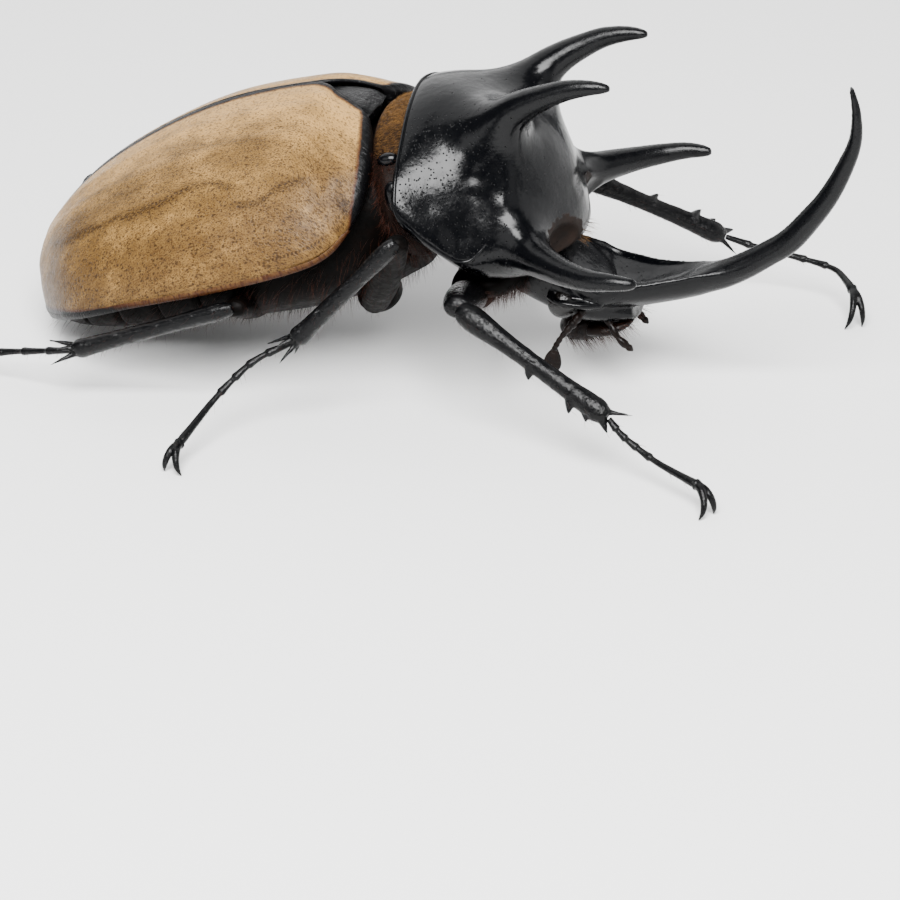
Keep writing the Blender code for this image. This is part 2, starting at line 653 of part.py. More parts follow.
def main():
    clear_scene()
    black = material("black_chitin", BLACK, 0.18)
    legs_black = material("leg_chitin", BLACK, 0.35)
    under = material("underside_chitin", DARK_RED, 0.45)
    tan = material("tan_elytra", TAN, 0.25)
    brown = material("neck_skin", AMBER, 0.6)
    shells = [elytron(1), elytron(-1)]
    named = prothorax()
    thorax, abdomen = belly()
    neck = neck_ring()
    shield = scutellum()
    chest = prosternum()
    skull = head()
    horn = head_horn()
    mouth = ball("mouthparts", (23.0, 0, -29.6), (2.6, 3.0, 1.8), 7)
    face_parts = [mouth]
    for side in (1, -1):
        eye = ball("eye_" + ("left" if side > 0 else "right"), (20.6, 4.9 * side, -25.2), (1.5, 1.4, 1.5), 7)
        carve(skull, eye)
        antenna, palp = feelers(side)
        face_parts.extend((eye, antenna, palp))
    carve(neck, named["pronotum"])
    carve(chest, named["pronotum"])
    carve(skull, named["pronotum"])
    carve(skull, chest)
    carve(skull, horn)
    carve(mouth, skull)
    carve(mouth, horn)
    for part in face_parts:
        if part.name.startswith(("antenna", "palp")):
            carve(part, skull)
            carve(part, mouth)
    carve(thorax, neck)
    carve(shield, neck)
    body = shells + list(named.values()) + [thorax, abdomen, neck, shield, chest, skull, horn] + face_parts
    place_body(body)
    limbs = []
    for name, sizes in LEGS.items():
        limbs.extend(leg(name, sizes, name.startswith("front")))
    place_legs(limbs)
    for part in limbs:
        if part.name.startswith(("femur", "coxa")):
            for other in (thorax, abdomen, chest, named["pronotum"], neck, skull, *shells):
                carve(part, other, GAP * MM)
        if part.name.startswith(("tarsus", "claws")):
            stand_flat(part)
    centre_on_ground(body + limbs)
    for part in body:
        look = black
        if part.name.startswith("elytron"):
            look = tan
        elif part in (thorax, abdomen, chest):
            look = under
        elif part is neck:
            look = brown
        finish(part, look)
    for part in limbs:
        finish(part, legs_black)


main()
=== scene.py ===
from math import atan2, cos, exp, pi, radians, sin

import bmesh
import bpy
import numpy as np
from mathutils import Matrix, Vector, noise
from mathutils.bvhtree import BVHTree


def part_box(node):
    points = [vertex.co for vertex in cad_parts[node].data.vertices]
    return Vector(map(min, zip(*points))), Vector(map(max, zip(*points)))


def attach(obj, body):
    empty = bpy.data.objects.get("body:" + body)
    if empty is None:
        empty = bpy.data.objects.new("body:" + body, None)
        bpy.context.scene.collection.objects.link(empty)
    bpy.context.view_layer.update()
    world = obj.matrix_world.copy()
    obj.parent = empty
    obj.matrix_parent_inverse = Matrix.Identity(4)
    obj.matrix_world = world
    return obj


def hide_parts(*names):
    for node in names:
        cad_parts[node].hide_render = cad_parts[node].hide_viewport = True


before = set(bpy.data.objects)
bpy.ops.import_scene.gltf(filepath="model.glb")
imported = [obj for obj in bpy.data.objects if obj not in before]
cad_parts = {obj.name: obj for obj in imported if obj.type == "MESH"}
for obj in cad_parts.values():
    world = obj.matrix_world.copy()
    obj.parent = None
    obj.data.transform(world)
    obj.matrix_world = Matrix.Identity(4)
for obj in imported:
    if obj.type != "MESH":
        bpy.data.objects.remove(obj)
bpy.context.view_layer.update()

print("stage: frame loaded")

# Body sizes are in millimetres from the tip of the scutellum: x forward, y left, z up
stance = {
    "pitch": radians(15.75),
    # how high the tip of the scutellum stands, and how far the head horn reaches past it
    "rise": 28.5,
    "hornReach": 55.14,
    "tailSwing": 0.024,
}
mm = 0.001
hornLow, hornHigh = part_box("head_horn")
underTip = Vector((hornHigh.x - stance["hornReach"] * mm, (hornLow.y + hornHigh.y) / 2, 0))
legPlace = Matrix.Translation(underTip) @ Matrix.Scale(mm, 4)
tilt = Matrix.Rotation(-stance["pitch"], 4, "Y")
bodyPlace = legPlace @ Matrix.Translation((0, 0, stance["rise"])) @ tilt
sides = {"left": 1, "right": -1}


def smoothPath(rows, count):
    # Catmull-Rom through the rows, with all their columns
    rows = np.array(rows, float)
    rows = np.vstack((2 * rows[0] - rows[1], rows, 2 * rows[-1] - rows[-2]))
    spans = len(rows) - 3
    out = []
    for place in np.linspace(0, spans, count):
        i = min(int(place), spans - 1)
        t = place - i
        a, b, c, d = rows[i:i + 4]
        bend = 2 * b + (c - a) * t + (2 * a - 5 * b + 4 * c - d) * t * t
        out.append((bend + (3 * b - a - 3 * c + d) * t ** 3) / 2)
    return np.array(out)


def clipped(value):
    return min(1.0, max(0.0, value))


def hump(away, wide):
    return exp(-(away / wide) ** 2)


def swing(bm):
    # the hind body drifts a little to the right
    for vert in bm.verts:
        vert.co.y += stance["tailSwing"] * min(vert.co.x, 0.0)


def facedOut(bm):
    bmesh.ops.recalc_face_normals(bm, faces=bm.faces)
    if bm.calc_volume(signed=True) < 0:
        bmesh.ops.reverse_faces(bm, faces=bm.faces)


def addObject(name, data):
    made = bpy.data.objects.new(name, data)
    bpy.context.scene.collection.objects.link(made)
    return made


def meshOf(name, bm):
    mesh = bpy.data.meshes.new(name)
    bm.to_mesh(mesh)
    bm.free()
    return mesh


def absorb(bm, part):
    mesh = meshOf("part", part)
    bm.from_mesh(mesh)
    bpy.data.meshes.remove(mesh)


def addPiece(name, mesh, material, node=None):
    mesh.materials.append(material)
    mesh.shade_smooth()
    piece = addObject(name, mesh)
    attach(piece, "root")
    if node:
        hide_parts(node)
    return piece


def makePiece(name, bm, material, node, place=bodyPlace, sharp=None, faced=facedOut):
    if place is bodyPlace:
        swing(bm)
    bm.transform(place)
    faced(bm)
    piece = addPiece(name, meshOf(name, bm), material, node)
    if sharp:
        piece.data.set_sharp_from_angle(angle=radians(sharp))
    return piece


def cutAcross(bm, cuts):
    # rings round an upright cylinder or cone that is 1 high
    lengthwise = [edge for edge in bm.edges if abs(edge.verts[0].co.z - edge.verts[1].co.z) > 0.5]
    bmesh.ops.subdivide_edges(bm, edges=lengthwise, cuts=cuts, use_grid_fill=True)


def barrel(count, around, shape):
    # a capped cylinder cut into rings; shape(t, turn) gives each point and its grain
    bm = bmesh.new()
    bmesh.ops.create_cone(bm, cap_ends=True, segments=around, radius1=1, radius2=1, depth=1)
    cutAcross(bm, count - 2)
    grain = bm.verts.layers.float_vector.new("grain")
    for vert in bm.verts:
        vert.co, vert[grain] = shape(vert.co.z + 0.5, atan2(vert.co.y, vert.co.x))
    return bm


def runAlong(points, axis=0):
    # how far along its path, or along its row of a grid, each point lies
    steps = np.linalg.norm(np.diff(points, axis=axis), axis=-1)
    return np.insert(np.cumsum(steps, axis=axis), 0, 0, axis=axis)


def tubeShape(rows, up):
    # rows hold x, y, z, half width and half height
    rows = np.array(rows, float)
    ways = np.gradient(rows[:, :3], axis=0)
    lengths = runAlong(rows[:, :3])

    def shape(t, turn):
        k = int(round(t * (len(rows) - 1)))
        ahead = Vector(ways[k]).normalized()
        across = Vector(up).cross(ahead).normalized()
        above = ahead.cross(across)
        wide, high = rows[k][3:5]
        place = Vector(rows[k][:3]) + across * wide * cos(turn) + above * high * sin(turn)
        return place, Vector((wide * cos(turn), high * sin(turn), lengths[k]))
    return shape


def tube(rows, around, up=(0, 0, 1)):
    return barrel(len(rows), around, tubeShape(rows, up))


def sectionBarrel(rows, around=64):
    # rows hold x at top, side and bottom, half width, z at each and the roundness
    def shape(t, turn):
        row = rows[int(round(t * (len(rows) - 1)))]
        xTop, xSide, xLow, wide, zTop, zSide, zLow, roundness = row
        out = np.sign(cos(turn)) * abs(cos(turn)) ** (2 / roundness)
        high = abs(sin(turn)) ** (2 / roundness)
        xEnd, zEnd = (xTop, zTop) if sin(turn) > 0 else (xLow, zLow)
        place = Vector((xSide + (xEnd - xSide) * high, wide * out, zSide + (zEnd - zSide) * high))
        return place, place.copy()
    return barrel(len(rows), around, shape)


def applied(made):
    # the object's mesh with its modifiers, as a bmesh; the object goes
    bpy.context.view_layer.update()
    graph = bpy.context.evaluated_depsgraph_get()
    mesh = bpy.data.meshes.new_from_object(made.evaluated_get(graph), depsgraph=graph)
    bm = bmesh.new()
    bm.from_mesh(mesh)
    bpy.data.objects.remove(made, do_unlink=True)
    bpy.data.meshes.remove(mesh)
    return bm


def grownTogether(parts, voxel, passes):
    # overlapping closed shapes as one skin
    whole = bmesh.new()
    for part in parts:
        facedOut(part)
        absorb(whole, part)
    made = addObject("scratch", meshOf("scratch", whole))
    even = made.modifiers.new("even", "REMESH")
    even.mode = "VOXEL"
    even.voxel_size = voxel
    soften = made.modifiers.new("soften", "SMOOTH")
    soften.factor = 0.5
    soften.iterations = passes
    return applied(made)


def fromSkin(tree, points):
    # signed distance from a skin and the way from it, for points outside it or hardly inside
    away = np.empty(len(points))
    ways = np.empty((len(points), 3))
    for k, point in enumerate(points):
        place, normal, _, away[k] = tree.find_nearest(point)
        way = (point - np.array(place)) / max(away[k], 1e-6)
        if away[k] < 0.3 and way.dot(normal) < 0:
            away[k], way = -away[k], -way
        ways[k] = way if abs(away[k]) > 1e-3 else normal
    return away, ways


def fromPath(rows, points):
    # signed distance from a horn, taken as balls along its path
    centres, radii = rows[:, :3], rows[:, 3:5].mean(axis=1)
    squares = (points ** 2).sum(axis=1)[:, None] - 2 * points @ centres.T + (centres ** 2).sum(axis=1)
    gaps = np.sqrt(np.maximum(squares, 1e-8)) - radii
    nearest = gaps.argmin(axis=1)
    ways = points - centres[nearest]
    return gaps.min(axis=1), ways / np.linalg.norm(ways, axis=1)[:, None]


def meltInto(points, tree, horns):
    # move the points onto one surface on which each horn's root flows into the base
    for _ in range(4):
        away, ways = fromSkin(tree, points)
        for rows, reach in horns:
            other, otherWays = fromPath(rows, points)
            share = np.maximum(0.0, 1 - abs(away - other) / reach)
            mix = np.where(other < away, 1 - share / 2, share / 2)[:, None]
            away = np.minimum(away, other) - reach * share ** 2 / 4
            ways = ways * (1 - mix) + otherWays * mix
        points = points - ways * (away / np.maximum((ways ** 2).sum(axis=1), 0.3))[:, None]
    return points


def pressedIn(points, centre, radii):
    # whatever lies inside a ball moves out to its far wall
    inside = (points - np.array(centre)) / np.array(radii)
    size = np.linalg.norm(inside, axis=1)[:, None]
    return np.where(size < 1, np.array(centre) + inside / size * np.array(radii), points)


def smoothed(bm, verts, passes):
    axes = {"use_axis_x": True, "use_axis_y": True, "use_axis_z": True}
    for _ in range(passes):
        bmesh.ops.smooth_vert(bm, verts=verts, factor=0.5, **axes)


# Node helpers: a socket takes a value or another node's output, and a new node goes in that output's tree

def fill(node, sockets):
    for key, value in sockets.items():
        if isinstance(value, bpy.types.NodeSocket):
            node.id_data.links.new(value, node.inputs[key])
        else:
            node.inputs[key].default_value = value


def addNode(tree, kind, sockets=None, **settings):
    made = tree.nodes.new("ShaderNode" + kind)
    for key, value in settings.items():
        setattr(made, key, value)
    fill(made, sockets or {})
    return made


def maths(operation, a, b=0.0):
    return addNode(a.id_data, "Math", {0: a, 1: b}, operation=operation).outputs[0]


def times(a, b):
    return maths("MULTIPLY", a, b)


def plus(a, b):
    return maths("ADD", a, b)


def minus(a, b):
    return maths("SUBTRACT", a, b)


def ramp(value, low, high, start=0.0, end=1.0):
    sockets = {"Value": value, "From Min": low, "From Max": high, "To Min": start, "To Max": end}
    made = addNode(value.id_data, "MapRange", sockets, interpolation_type="SMOOTHSTEP")
    return made.outputs["Result"]


def mixColour(factor, a, b):
    return addNode(factor.id_data, "Mix", {0: factor, 6: a, 7: b}, data_type="RGBA").outputs[2]


def noiseOf(vector, scale, detail=2.0, rough=0.5):
    sockets = {"Vector": vector, "Scale": scale, "Detail": detail, "Roughness": rough}
    return addNode(vector.id_data, "TexNoise", sockets).outputs["Fac"]


def stretched(vector, x, y, z):
    return addNode(vector.id_data, "Mapping", {"Vector": vector, "Scale": (x, y, z)}).outputs["Vector"]


def separated(vector):
    return addNode(vector.id_data, "SeparateXYZ", {0: vector}).outputs


def combined(x, y, z):
    return addNode(x.id_data, "CombineXYZ", {0: x, 1: y, 2: z}).outputs[0]


def newMaterial(name, **values):
    made = bpy.data.materials.new(name)
    made.use_nodes = True
    shader = made.node_tree.nodes["Principled BSDF"]
    fill(shader, {key.replace("_", " "): value for key, value in values.items()})
    return made, shader


def objectCoords(shader):
    return addNode(shader.id_data, "TexCoord").outputs["Object"]


def attribute(shader, name, output="Fac"):
    return addNode(shader.id_data, "Attribute", attribute_name=name).outputs[output]


def bumpInto(shader, height, strength, distance):
    # each bump lies over the one before it
    sockets = {"Height": height, "Strength": strength, "Distance": distance}
    below = shader.inputs["Normal"].links
    if below:
        sockets["Normal"] = below[0].from_socket
    fill(shader, {"Normal": addNode(shader.id_data, "Bump", sockets).outputs["Normal"]})


def newGroup(name, numbers, result):
    # a vector and some numbers go in and one number comes out
    tree = bpy.data.node_groups.new(name, "ShaderNodeTree")
    tree.interface.new_socket("Vector", in_out="INPUT", socket_type="NodeSocketVector")
    for label in numbers:
        tree.interface.new_socket(label, in_out="INPUT", socket_type="NodeSocketFloat")
    tree.interface.new_socket(result, in_out="OUTPUT", socket_type="NodeSocketFloat")
    return tree, tree.nodes.new("NodeGroupInput").outputs, tree.nodes.new("NodeGroupOutput")


def useGroup(group, sockets):
    return addNode(sockets["Vector"].id_data, "Group", sockets, node_tree=group).outputs[0]


def makePunctures():
    # scattered round pits: 1 in a pit, 0 between
    tree, into, out = newGroup("punctures", ("Scale", "Size", "Share"), "Mask")
    cells = addNode(tree, "TexVoronoi", {"Vector": into["Vector"], "Scale": into["Scale"]})
    chosen = addNode(tree, "TexWhiteNoise", {"Vector": cells.outputs["Position"]}, noise_dimensions="3D")
    kept = maths("LESS_THAN", chosen.outputs["Value"], into["Share"])
    pit = ramp(cells.outputs["Distance"], into["Size"], times(into["Size"], 0.45))
    fill(out, {"Mask": times(pit, kept)})
    return tree


def makeWear():
    # fine uneven gloss: smudges and hairline scratches as a roughness value
    tree, into, out = newGroup("unevenGloss", ("Low", "High"), "Roughness")
    cloud = noiseOf(into["Vector"], 220.0, 4.0, 0.6)
    fine = noiseOf(into["Vector"], 1500.0, 2.0)
    both = times(plus(cloud, fine), 0.5)
    lifted = addNode(tree, "MapRange", {"Value": both, "From Min": 0.38, "From Max": 0.62,
                                        "To Min": into["Low"], "To Max": into["High"]})
    fill(out, {"Roughness": lifted.outputs["Result"]})
    return tree


punctures = makePunctures()
unevenGloss = makeWear()


def pitsOf(vector, scale, size, share):
    return useGroup(punctures, {"Vector": vector, "Scale": scale, "Size": size, "Share": share})


def glossOf(place, low, high):
    return useGroup(unevenGloss, {"Vector": place, "Low": low, "High": high})


blackTones = {
    "shell": (0.0005, 0.0006, 0.0009, 1),
    "hollow": ((0.0004, 0.0002, 0.0002, 1), (0.009, 0.0035, 0.0012, 1)),
    "gloss": (0.15, 0.25),
    # how much rougher the pits, the wrinkles and the hollow are
    "rougher": (0.35, 0.07, 0.55),
}


def makeBlackShell():
    # polished black: pits on the shield, lengthwise wrinkles on the horns, brown in the hollow
    made, shader = newMaterial("blackShell", IOR=1.52, Specular_IOR_Level=0.15)
    place = objectCoords(shader)
    pitted, wrinkled, hollow = (attribute(shader, name) for name in ("pitted", "wrinkled", "hollow"))
    hollow = ramp(plus(hollow, noiseOf(place, 1100.0, 4.0, 0.6)), 1.05, 1.2)
    pits = pitsOf(place, 3000.0, 0.3, pitted)
    wrinkles = noiseOf(stretched(attribute(shader, "grain", "Vector"), 1.0, 1.0, 0.09), 4.6, 5.0, 0.62)
    bumpInto(shader, noiseOf(place, 420.0, 5.0, 0.55), 0.18, 0.0006)
    bumpInto(shader, times(pits, -1.0), 1.0, 0.00012)
    bumpInto(shader, times(wrinkles, wrinkled), 0.3, 0.00011)
    roughness = glossOf(place, *blackTones["gloss"])
    for mask, more in zip((pits, wrinkled, hollow), blackTones["rougher"]):
        roughness = plus(roughness, times(mask, more))
    brown = mixColour(noiseOf(place, 900.0), *blackTones["hollow"])
    fill(shader, {"Base Color": mixColour(hollow, blackTones["shell"], brown), "Roughness": roughness})
    return made


def makeLegShell():
    made, shader = newMaterial("legShell", IOR=1.5, Specular_IOR_Level=0.13)
    place = objectCoords(shader)
    lumps = noiseOf(place, 1700.0, 4.0, 0.65)
    pits = pitsOf(place, 2100.0, 0.3, 0.5)
    bumpInto(shader, minus(times(lumps, 0.8), times(pits, 0.5)), 0.85, 0.00018)
    tone = mixColour(ramp(lumps, 0.35, 0.75), (0.0007, 0.0008, 0.001, 1), (0.002, 0.0019, 0.002, 1))
    fill(shader, {"Base Color": tone, "Roughness": glossOf(place, 0.14, 0.26)})
    return made


plainSkins = {
    # dark and light tone, least and most roughness, scale of the lumps and shine
    "undersideShell": ((0.0003, 0.00025, 0.0002, 1), (0.0013, 0.0007, 0.0005, 1), 0.35, 0.55, 900.0, 0.03),
    "feelerShell": ((0.0009, 0.0005, 0.0004, 1), (0.004, 0.0015, 0.0008, 1), 0.25, 0.45, 1500.0, 0.1),
    "eyeShell": ((0.001, 0.0009, 0.0009, 1), (0.003, 0.0022, 0.0018, 1), 0.12, 0.2, 3500.0, 0.35),
}


def makeSkin(name):
    dark, light, low, high, lumpScale, shine = plainSkins[name]
    made, shader = newMaterial(name, IOR=1.5, Specular_IOR_Level=shine)
    place = objectCoords(shader)
    lumps = noiseOf(place, lumpScale, 4.0, 0.6)
    bumpInto(shader, lumps, 0.5, 0.0002)
    tone = mixColour(ramp(lumps, 0.3, 0.7), dark, light)
    fill(shader, {"Base Color": tone, "Roughness": glossOf(place, low, high)})
    return made


collarTones = {
    # dark and light
    "skin": ((0.001, 0.0005, 0.0003, 1), (0.006, 0.002, 0.0009, 1)),
    "lowDown": ((0.005, 0.0022, 0.0008, 1), (0.028, 0.013, 0.0038, 1)),
    "highDown": ((0.03, 0.012, 0.003, 1), (0.17, 0.082, 0.02, 1)),
    # heights above the floor, in metres, between which the down begins and turns pale
    "downFrom": (0.0248, 0.0274),
    "paleFrom": (0.0264, 0.029),
}


def makeCollarSkin():
    # golden down on the upper side, dark red-brown skin below it
    made, shader = newMaterial("collarSkin", IOR=1.45, Specular_IOR_Level=0.08, Roughness=0.6)
    place = objectCoords(shader)
    down = noiseOf(stretched(place, 1.0, 1.0, 0.3), 2600.0, 3.0, 0.6)
    height = plus(separated(place)[2], times(minus(noiseOf(place, 400.0), 0.5), 0.004))
    low = mixColour(ramp(down, 0.35, 0.65), *collarTones["lowDown"])
    high = mixColour(ramp(down, 0.3, 0.7), *collarTones["highDown"])
    golden = mixColour(ramp(height, *collarTones["paleFrom"]), low, high)
    brown = mixColour(down, *collarTones["skin"])
    fill(shader, {"Base Color": mixColour(ramp(height, *collarTones["downFrom"]), brown, golden)})
    bumpInto(shader, down, 0.5, 0.00012)
    return made


wingColours = {
    "tan": (0.115, 0.065, 0.0195, 1),
    "pale": (0.33, 0.19, 0.06, 1),
    "streak": (0.026, 0.011, 0.0035, 1),
    "pit": (0.009, 0.004, 0.0015, 1),
    "rust": (0.022, 0.0045, 0.002, 1),
    "black": (0.0012, 0.0012, 0.0014, 1),
}
# brown veins: places along and across in mm, half width and strength
wingVeins = (
    (((12.7, 14.1), (16.5, 13.2), (21.7, 13.8), (27.9, 12.8), (32.1, 11.8), (37.4, 8.8)), 0.42, 0.85),
    (((4.8, 12.4), (6.7, 14.2), (8.5, 15.2), (9.9, 16.2), (12.5, 16.2)), 0.4, 0.8),
    (((22.6, 10.6), (26.7, 10.1), (28.7, 8.2), (31.7, 7.3), (35.4, 5.3)), 0.3, 0.5),
    (((9.0, 10.0), (14.0, 8.4), (18.8, 8.4), (25.5, 6.6)), 0.45, 0.32),
)
wingReach = 42.0
# a dark shoulder spot and a brown patch near the tip: place, outer and inner radius, strength
wingSpots = (((1.0, 12.8, 0), 1.5, 0.3, 1.0), ((33.0, 9.5, 0), 5.0, 0.5, 0.36))


def veinMask(lengthwise, across, points, wide):
    # 1 on a smooth line through the points, fading at its ends
    line = addNode(lengthwise.id_data, "FloatCurve", {"Value": maths("DIVIDE", lengthwise, wingReach)})
    curve = line.mapping.curves[0]
    for k, (along, side) in enumerate(points):
        if k < 2:
            curve.points[k].location = (along / wingReach, side / wingReach)
        else:
            curve.points.new(along / wingReach, side / wingReach)
    line.mapping.extend = "HORIZONTAL"
    line.mapping.update()
    away = maths("ABSOLUTE", minus(across, times(line.outputs[0], wingReach)))
    first, last = points[0][0], points[-1][0]
    inside = times(ramp(lengthwise, first - 0.8, first + 1.2), ramp(lengthwise, last + 1.5, last - 1.5))
    return times(ramp(away, wide * 2.2, 0.0), inside)


def spotMask(flat, broken):
    masks = []
    for centre, outer, inner, strength in wingSpots:
        away = addNode(flat.id_data, "VectorMath", {0: flat, 1: centre}, operation="DISTANCE")
        masks.append(ramp(away.outputs["Value"], outer, inner, 0.0, strength))
    return times(times(maths("MAXIMUM", *masks), ramp(broken, 0.34, 0.55)), 0.85)


def pitMask(ownFlat, lengthwise, fromMargin):
    # dark punctures, coarser and denser on the sides and behind
    dense = plus(ramp(fromMargin, 9.5, 3.5, 0.1, 0.7), ramp(lengthwise, 10.0, 30.0, 0.0, 0.1))
    specks = stretched(ownFlat, 0.7, 1.0, 1.0)
    coarse = times(pitsOf(specks, 2.2, 0.34, dense), 0.85)
    fine = times(pitsOf(specks, 4.4, 0.46, 0.95), 0.75)
    # a row of short notches above the front of the margin
    beside = maths("ABSOLUTE", minus(fromMargin, 1.35))
    notches = times(ramp(beside, 0.2, 0.08), ramp(maths("PINGPONG", lengthwise, 0.2), 0.06, 0.14))
    notches = times(times(notches, ramp(lengthwise, 9.8, 8.8)), ramp(lengthwise, 2.6, 3.6))
    return maths("MAXIMUM", maths("MAXIMUM", coarse, fine), times(notches, 0.9))


def edgeDistance(ownFlat, lengthwise, fromSuture, fromMargin):
    # how far inside the black border of the suture, the outer margin and the front
    wobble = times(minus(noiseOf(ownFlat, 0.8, 3.0), 0.5), 0.3)
    suture = minus(fromSuture, ramp(lengthwise, 0.0, 38.0, 0.45, 0.9))
    margin = minus(fromMargin, ramp(lengthwise, 22.0, 39.0, -0.34, 0.6))
    edge = maths("MINIMUM", maths("MINIMUM", suture, margin), minus(lengthwise, 0.05))
    return plus(edge, wobble)


def makeWingShell():
    made, shader = newMaterial("wingShell", IOR=1.48, Specular_IOR_Level=0.11)
    lengthwise, fromSuture, fromMargin = separated(attribute(shader, "skin", "Vector"))
    place = objectCoords(shader)
    flat = combined(lengthwise, fromSuture, 0.0)
    # the two sides differ a little
    other = times(maths("GREATER_THAN", separated(place)[1], -0.0016), 37.0)
    ownFlat = combined(lengthwise, fromSuture, other)

    def drawnOut(along, across, *grain):
        # noise on the wing case laid flat, then its scale, detail and roughness
        return noiseOf(stretched(ownFlat, along, across, 1.0), *grain)

    # soft clouds of paler tan; paler towards the suture, the upper side, as painted light; browner towards
    # the margin, partly the real brown edge and partly painted shade on the lower flank
    paleCloudsAndLitTop = plus(drawnOut(0.6, 1.0, 0.35, 3.0, 0.55), ramp(fromSuture, 12.0, 1.0, -0.1, 0.3))
    mottle = drawnOut(0.7, 1.0, 1.5, 5.0, 0.68)
    # browner towards the margin: partly the real brown edge, partly painted shade on the lower flank
    brownAndShadeToMargin = times(ramp(mottle, 0.1, 0.85), ramp(fromMargin, 12.0, 3.5, 0.1, 0.72))
    # fine fibres along the wing case
    fibres = ramp(drawnOut(0.14, 1.6, 2.2, 4.0, 0.65), 0.5, 0.76, 0.0, 0.42)
    # dark grit everywhere, strongest half way down the side
    grit = drawnOut(0.75, 1.0, 7.5, 3.0, 0.75)
    gritty = times(ramp(grit, 0.48, 0.6), ramp(fromSuture, 2.0, 11.0, 0.25, 0.82))
    layers = [(brownAndShadeToMargin, "streak"), (fibres, "streak"), (gritty, "streak")]
    # brown veins that wander a little and break up
    across = plus(fromSuture, times(minus(drawnOut(0.5, 0.12, 1.1, 3.0), 0.5), 0.8))
    broken = drawnOut(0.8, 1.6, 3.6, 5.0, 0.75)
    for points, wide, strength in wingVeins:
        vein = veinMask(lengthwise, across, points, wide)
        layers.append((times(vein, ramp(broken, 0.42, 0.56, strength * 0.2, strength)), "pit"))
    pits = pitMask(ownFlat, lengthwise, fromMargin)
    layers += [(spotMask(flat, broken), "pit"), (times(pits, 0.85), "pit")]
    # the black border has a rust-red edge
    edge = edgeDistance(ownFlat, lengthwise, fromSuture, fromMargin)
    layers += [(ramp(edge, 0.45, 0.05, 0.0, 0.85), "rust"), (ramp(edge, 0.1, -0.1), "black")]
    # paler tan clouds, with painted light towards the suture on the upper side
    colour = mixColour(ramp(paleCloudsAndLitTop, 0.3, 0.85), wingColours["tan"], wingColours["pale"])
    for mask, tone in layers:
        colour = mixColour(mask, colour, wingColours[tone])
    folds = drawnOut(0.35, 1.2, 0.9, 3.0, 0.5)
    height = plus(minus(times(folds, 0.8), times(pits, 0.35)), times(grit, 0.35))
    bumpInto(shader, height, 0.5, 0.0002)
    fill(shader, {"Base Color": colour, "Roughness": glossOf(place, 0.27, 0.4)})
    return made


def makeHairMaterial(name, root, tip):
    made, shader = newMaterial(name, Roughness=0.5, Specular_IOR_Level=0.15)
    fill(shader, {"Base Color": mixColour(separated(attribute(shader, "grain", "Vector"))[2], root, tip)})
    return made


blackShell = makeBlackShell()
legShell = makeLegShell()
wingShell = makeWingShell()
collarSkin = makeCollarSkin()
undersideShell, feelerShell, eyeShell = (makeSkin(name) for name in plainSkins)
hairShells = {
    "gold": makeHairMaterial("goldHair", (0.014, 0.006, 0.002, 1), (0.14, 0.07, 0.021, 1)),
    "red": makeHairMaterial("redHair", (0.004, 0.0012, 0.0006, 1), (0.04, 0.01, 0.004, 1)),
}
print("stage: materials")


# Wing cases

wingCase = {
    # suture x, y, z, margin x, y, z, roundness
    "stations": (
        (4.6, 3.3, -2.6, 4.2, 13.7, -10.6, 1.5),
        (2.4, 1.9, -1.1, 2.0, 15.7, -12.2, 1.65),
        (-0.6, 0.02, 0.0, -1.7, 16.8, -12.9, 1.75),
        (-9.4, 0.02, -0.05, -10.3, 17.3, -13.4, 1.78),
        (-17.7, 0.02, -1.65, -18.7, 16.4, -13.9, 1.82),
        (-25.5, 0.02, -4.5, -26.8, 13.7, -15.1, 1.92),
        (-31.9, 0.02, -8.6, -32.3, 8.3, -16.4, 2.0),
        (-34.7, 0.02, -12.5, -34.7, 3.5, -16.5, 2.0),
        (-35.5, 0.02, -15.4, -35.2, 0.3, -16.3, 2.0),
    ),
    "lengthSteps": 132,
    "widthSteps": 62,
    # how far the front bows forward, and the share of the length that it fades over
    "bow": 1.5,
    "bowFade": 0.18,
    "rollSteps": 7,
    "rollRadius": 0.7,
    "rollTurn": 2.1,
    # the bead along the margin: where it begins, radius, how fast and how far it curls, then a flange
    "rimFrom": 0.92,
    "bead": 0.11,
    "curl": (1.7, 3.4),
    "flange": 1.0,
    "flangeFrom": 0.45,
    "wall": 0.4,
    "knobs": (
        # place along and across, height, width along and across, in shares
        (0.075, 0.6, 0.4, 0.045, 0.09),
        (0.8, 0.5, 0.25, 0.07, 0.12),
        (0.13, 0.74, -0.22, 0.03, 0.04),
        (0.2, 0.12, 0.1, 0.1, 0.03),
    ),
    # place across, height and half width: in mm from the suture, then as shares for the low ridges
    "sutureRibs": ((0.0, 0.1, 0.5), (1.05, -0.08, 0.28)),
    "ridges": ((0.2, 0.1, 0.03), (0.36, 0.07, 0.03), (0.55, 0.06, 0.04)),
    "ridgeEnd": 0.93,
    "uneven": 0.05,
}


def wingPoint(row, t, v):
    # a point of the wing case's inner face, t from front to tip, v from suture to margin
    case = wingCase
    suture, margin, roundness = Vector(row[:3]), Vector(row[3:6]), row[6]
    turn = 0.5 * pi * v
    out, high = sin(turn) ** (2 / roundness), max(cos(turn), 0.0) ** (2 / roundness)
    place = suture.lerp(margin, out)
    place.z = margin.z + (suture.z - margin.z) * high
    place.x += case["bow"] * max(0.0, 1 - t / case["bowFade"]) ** 2 * sin(2 * turn)
    outward = Vector((0, margin.y * out + 0.5, (suture.z - margin.z) * high + 0.5)).normalized()
    lift = sum(height * hump(place.y - suture.y - at, wide) for at, height, wide in case["sutureRibs"])
    for atT, atV, height, wideT, wideV in case["knobs"]:
        lift += height * exp(-((t - atT) / wideT) ** 2 - ((v - atV) / wideV) ** 2)
    inner = clipped(t * 7) * clipped((case["ridgeEnd"] - t) * 6)
    for atV, height, wide in case["ridges"]:
        lift += height * inner * hump(v - atV, wide)
    lift += case["uneven"] * inner * noise.noise(Vector((t * 9, v * 14, margin.y * 0.1)))
    return place + outward * lift


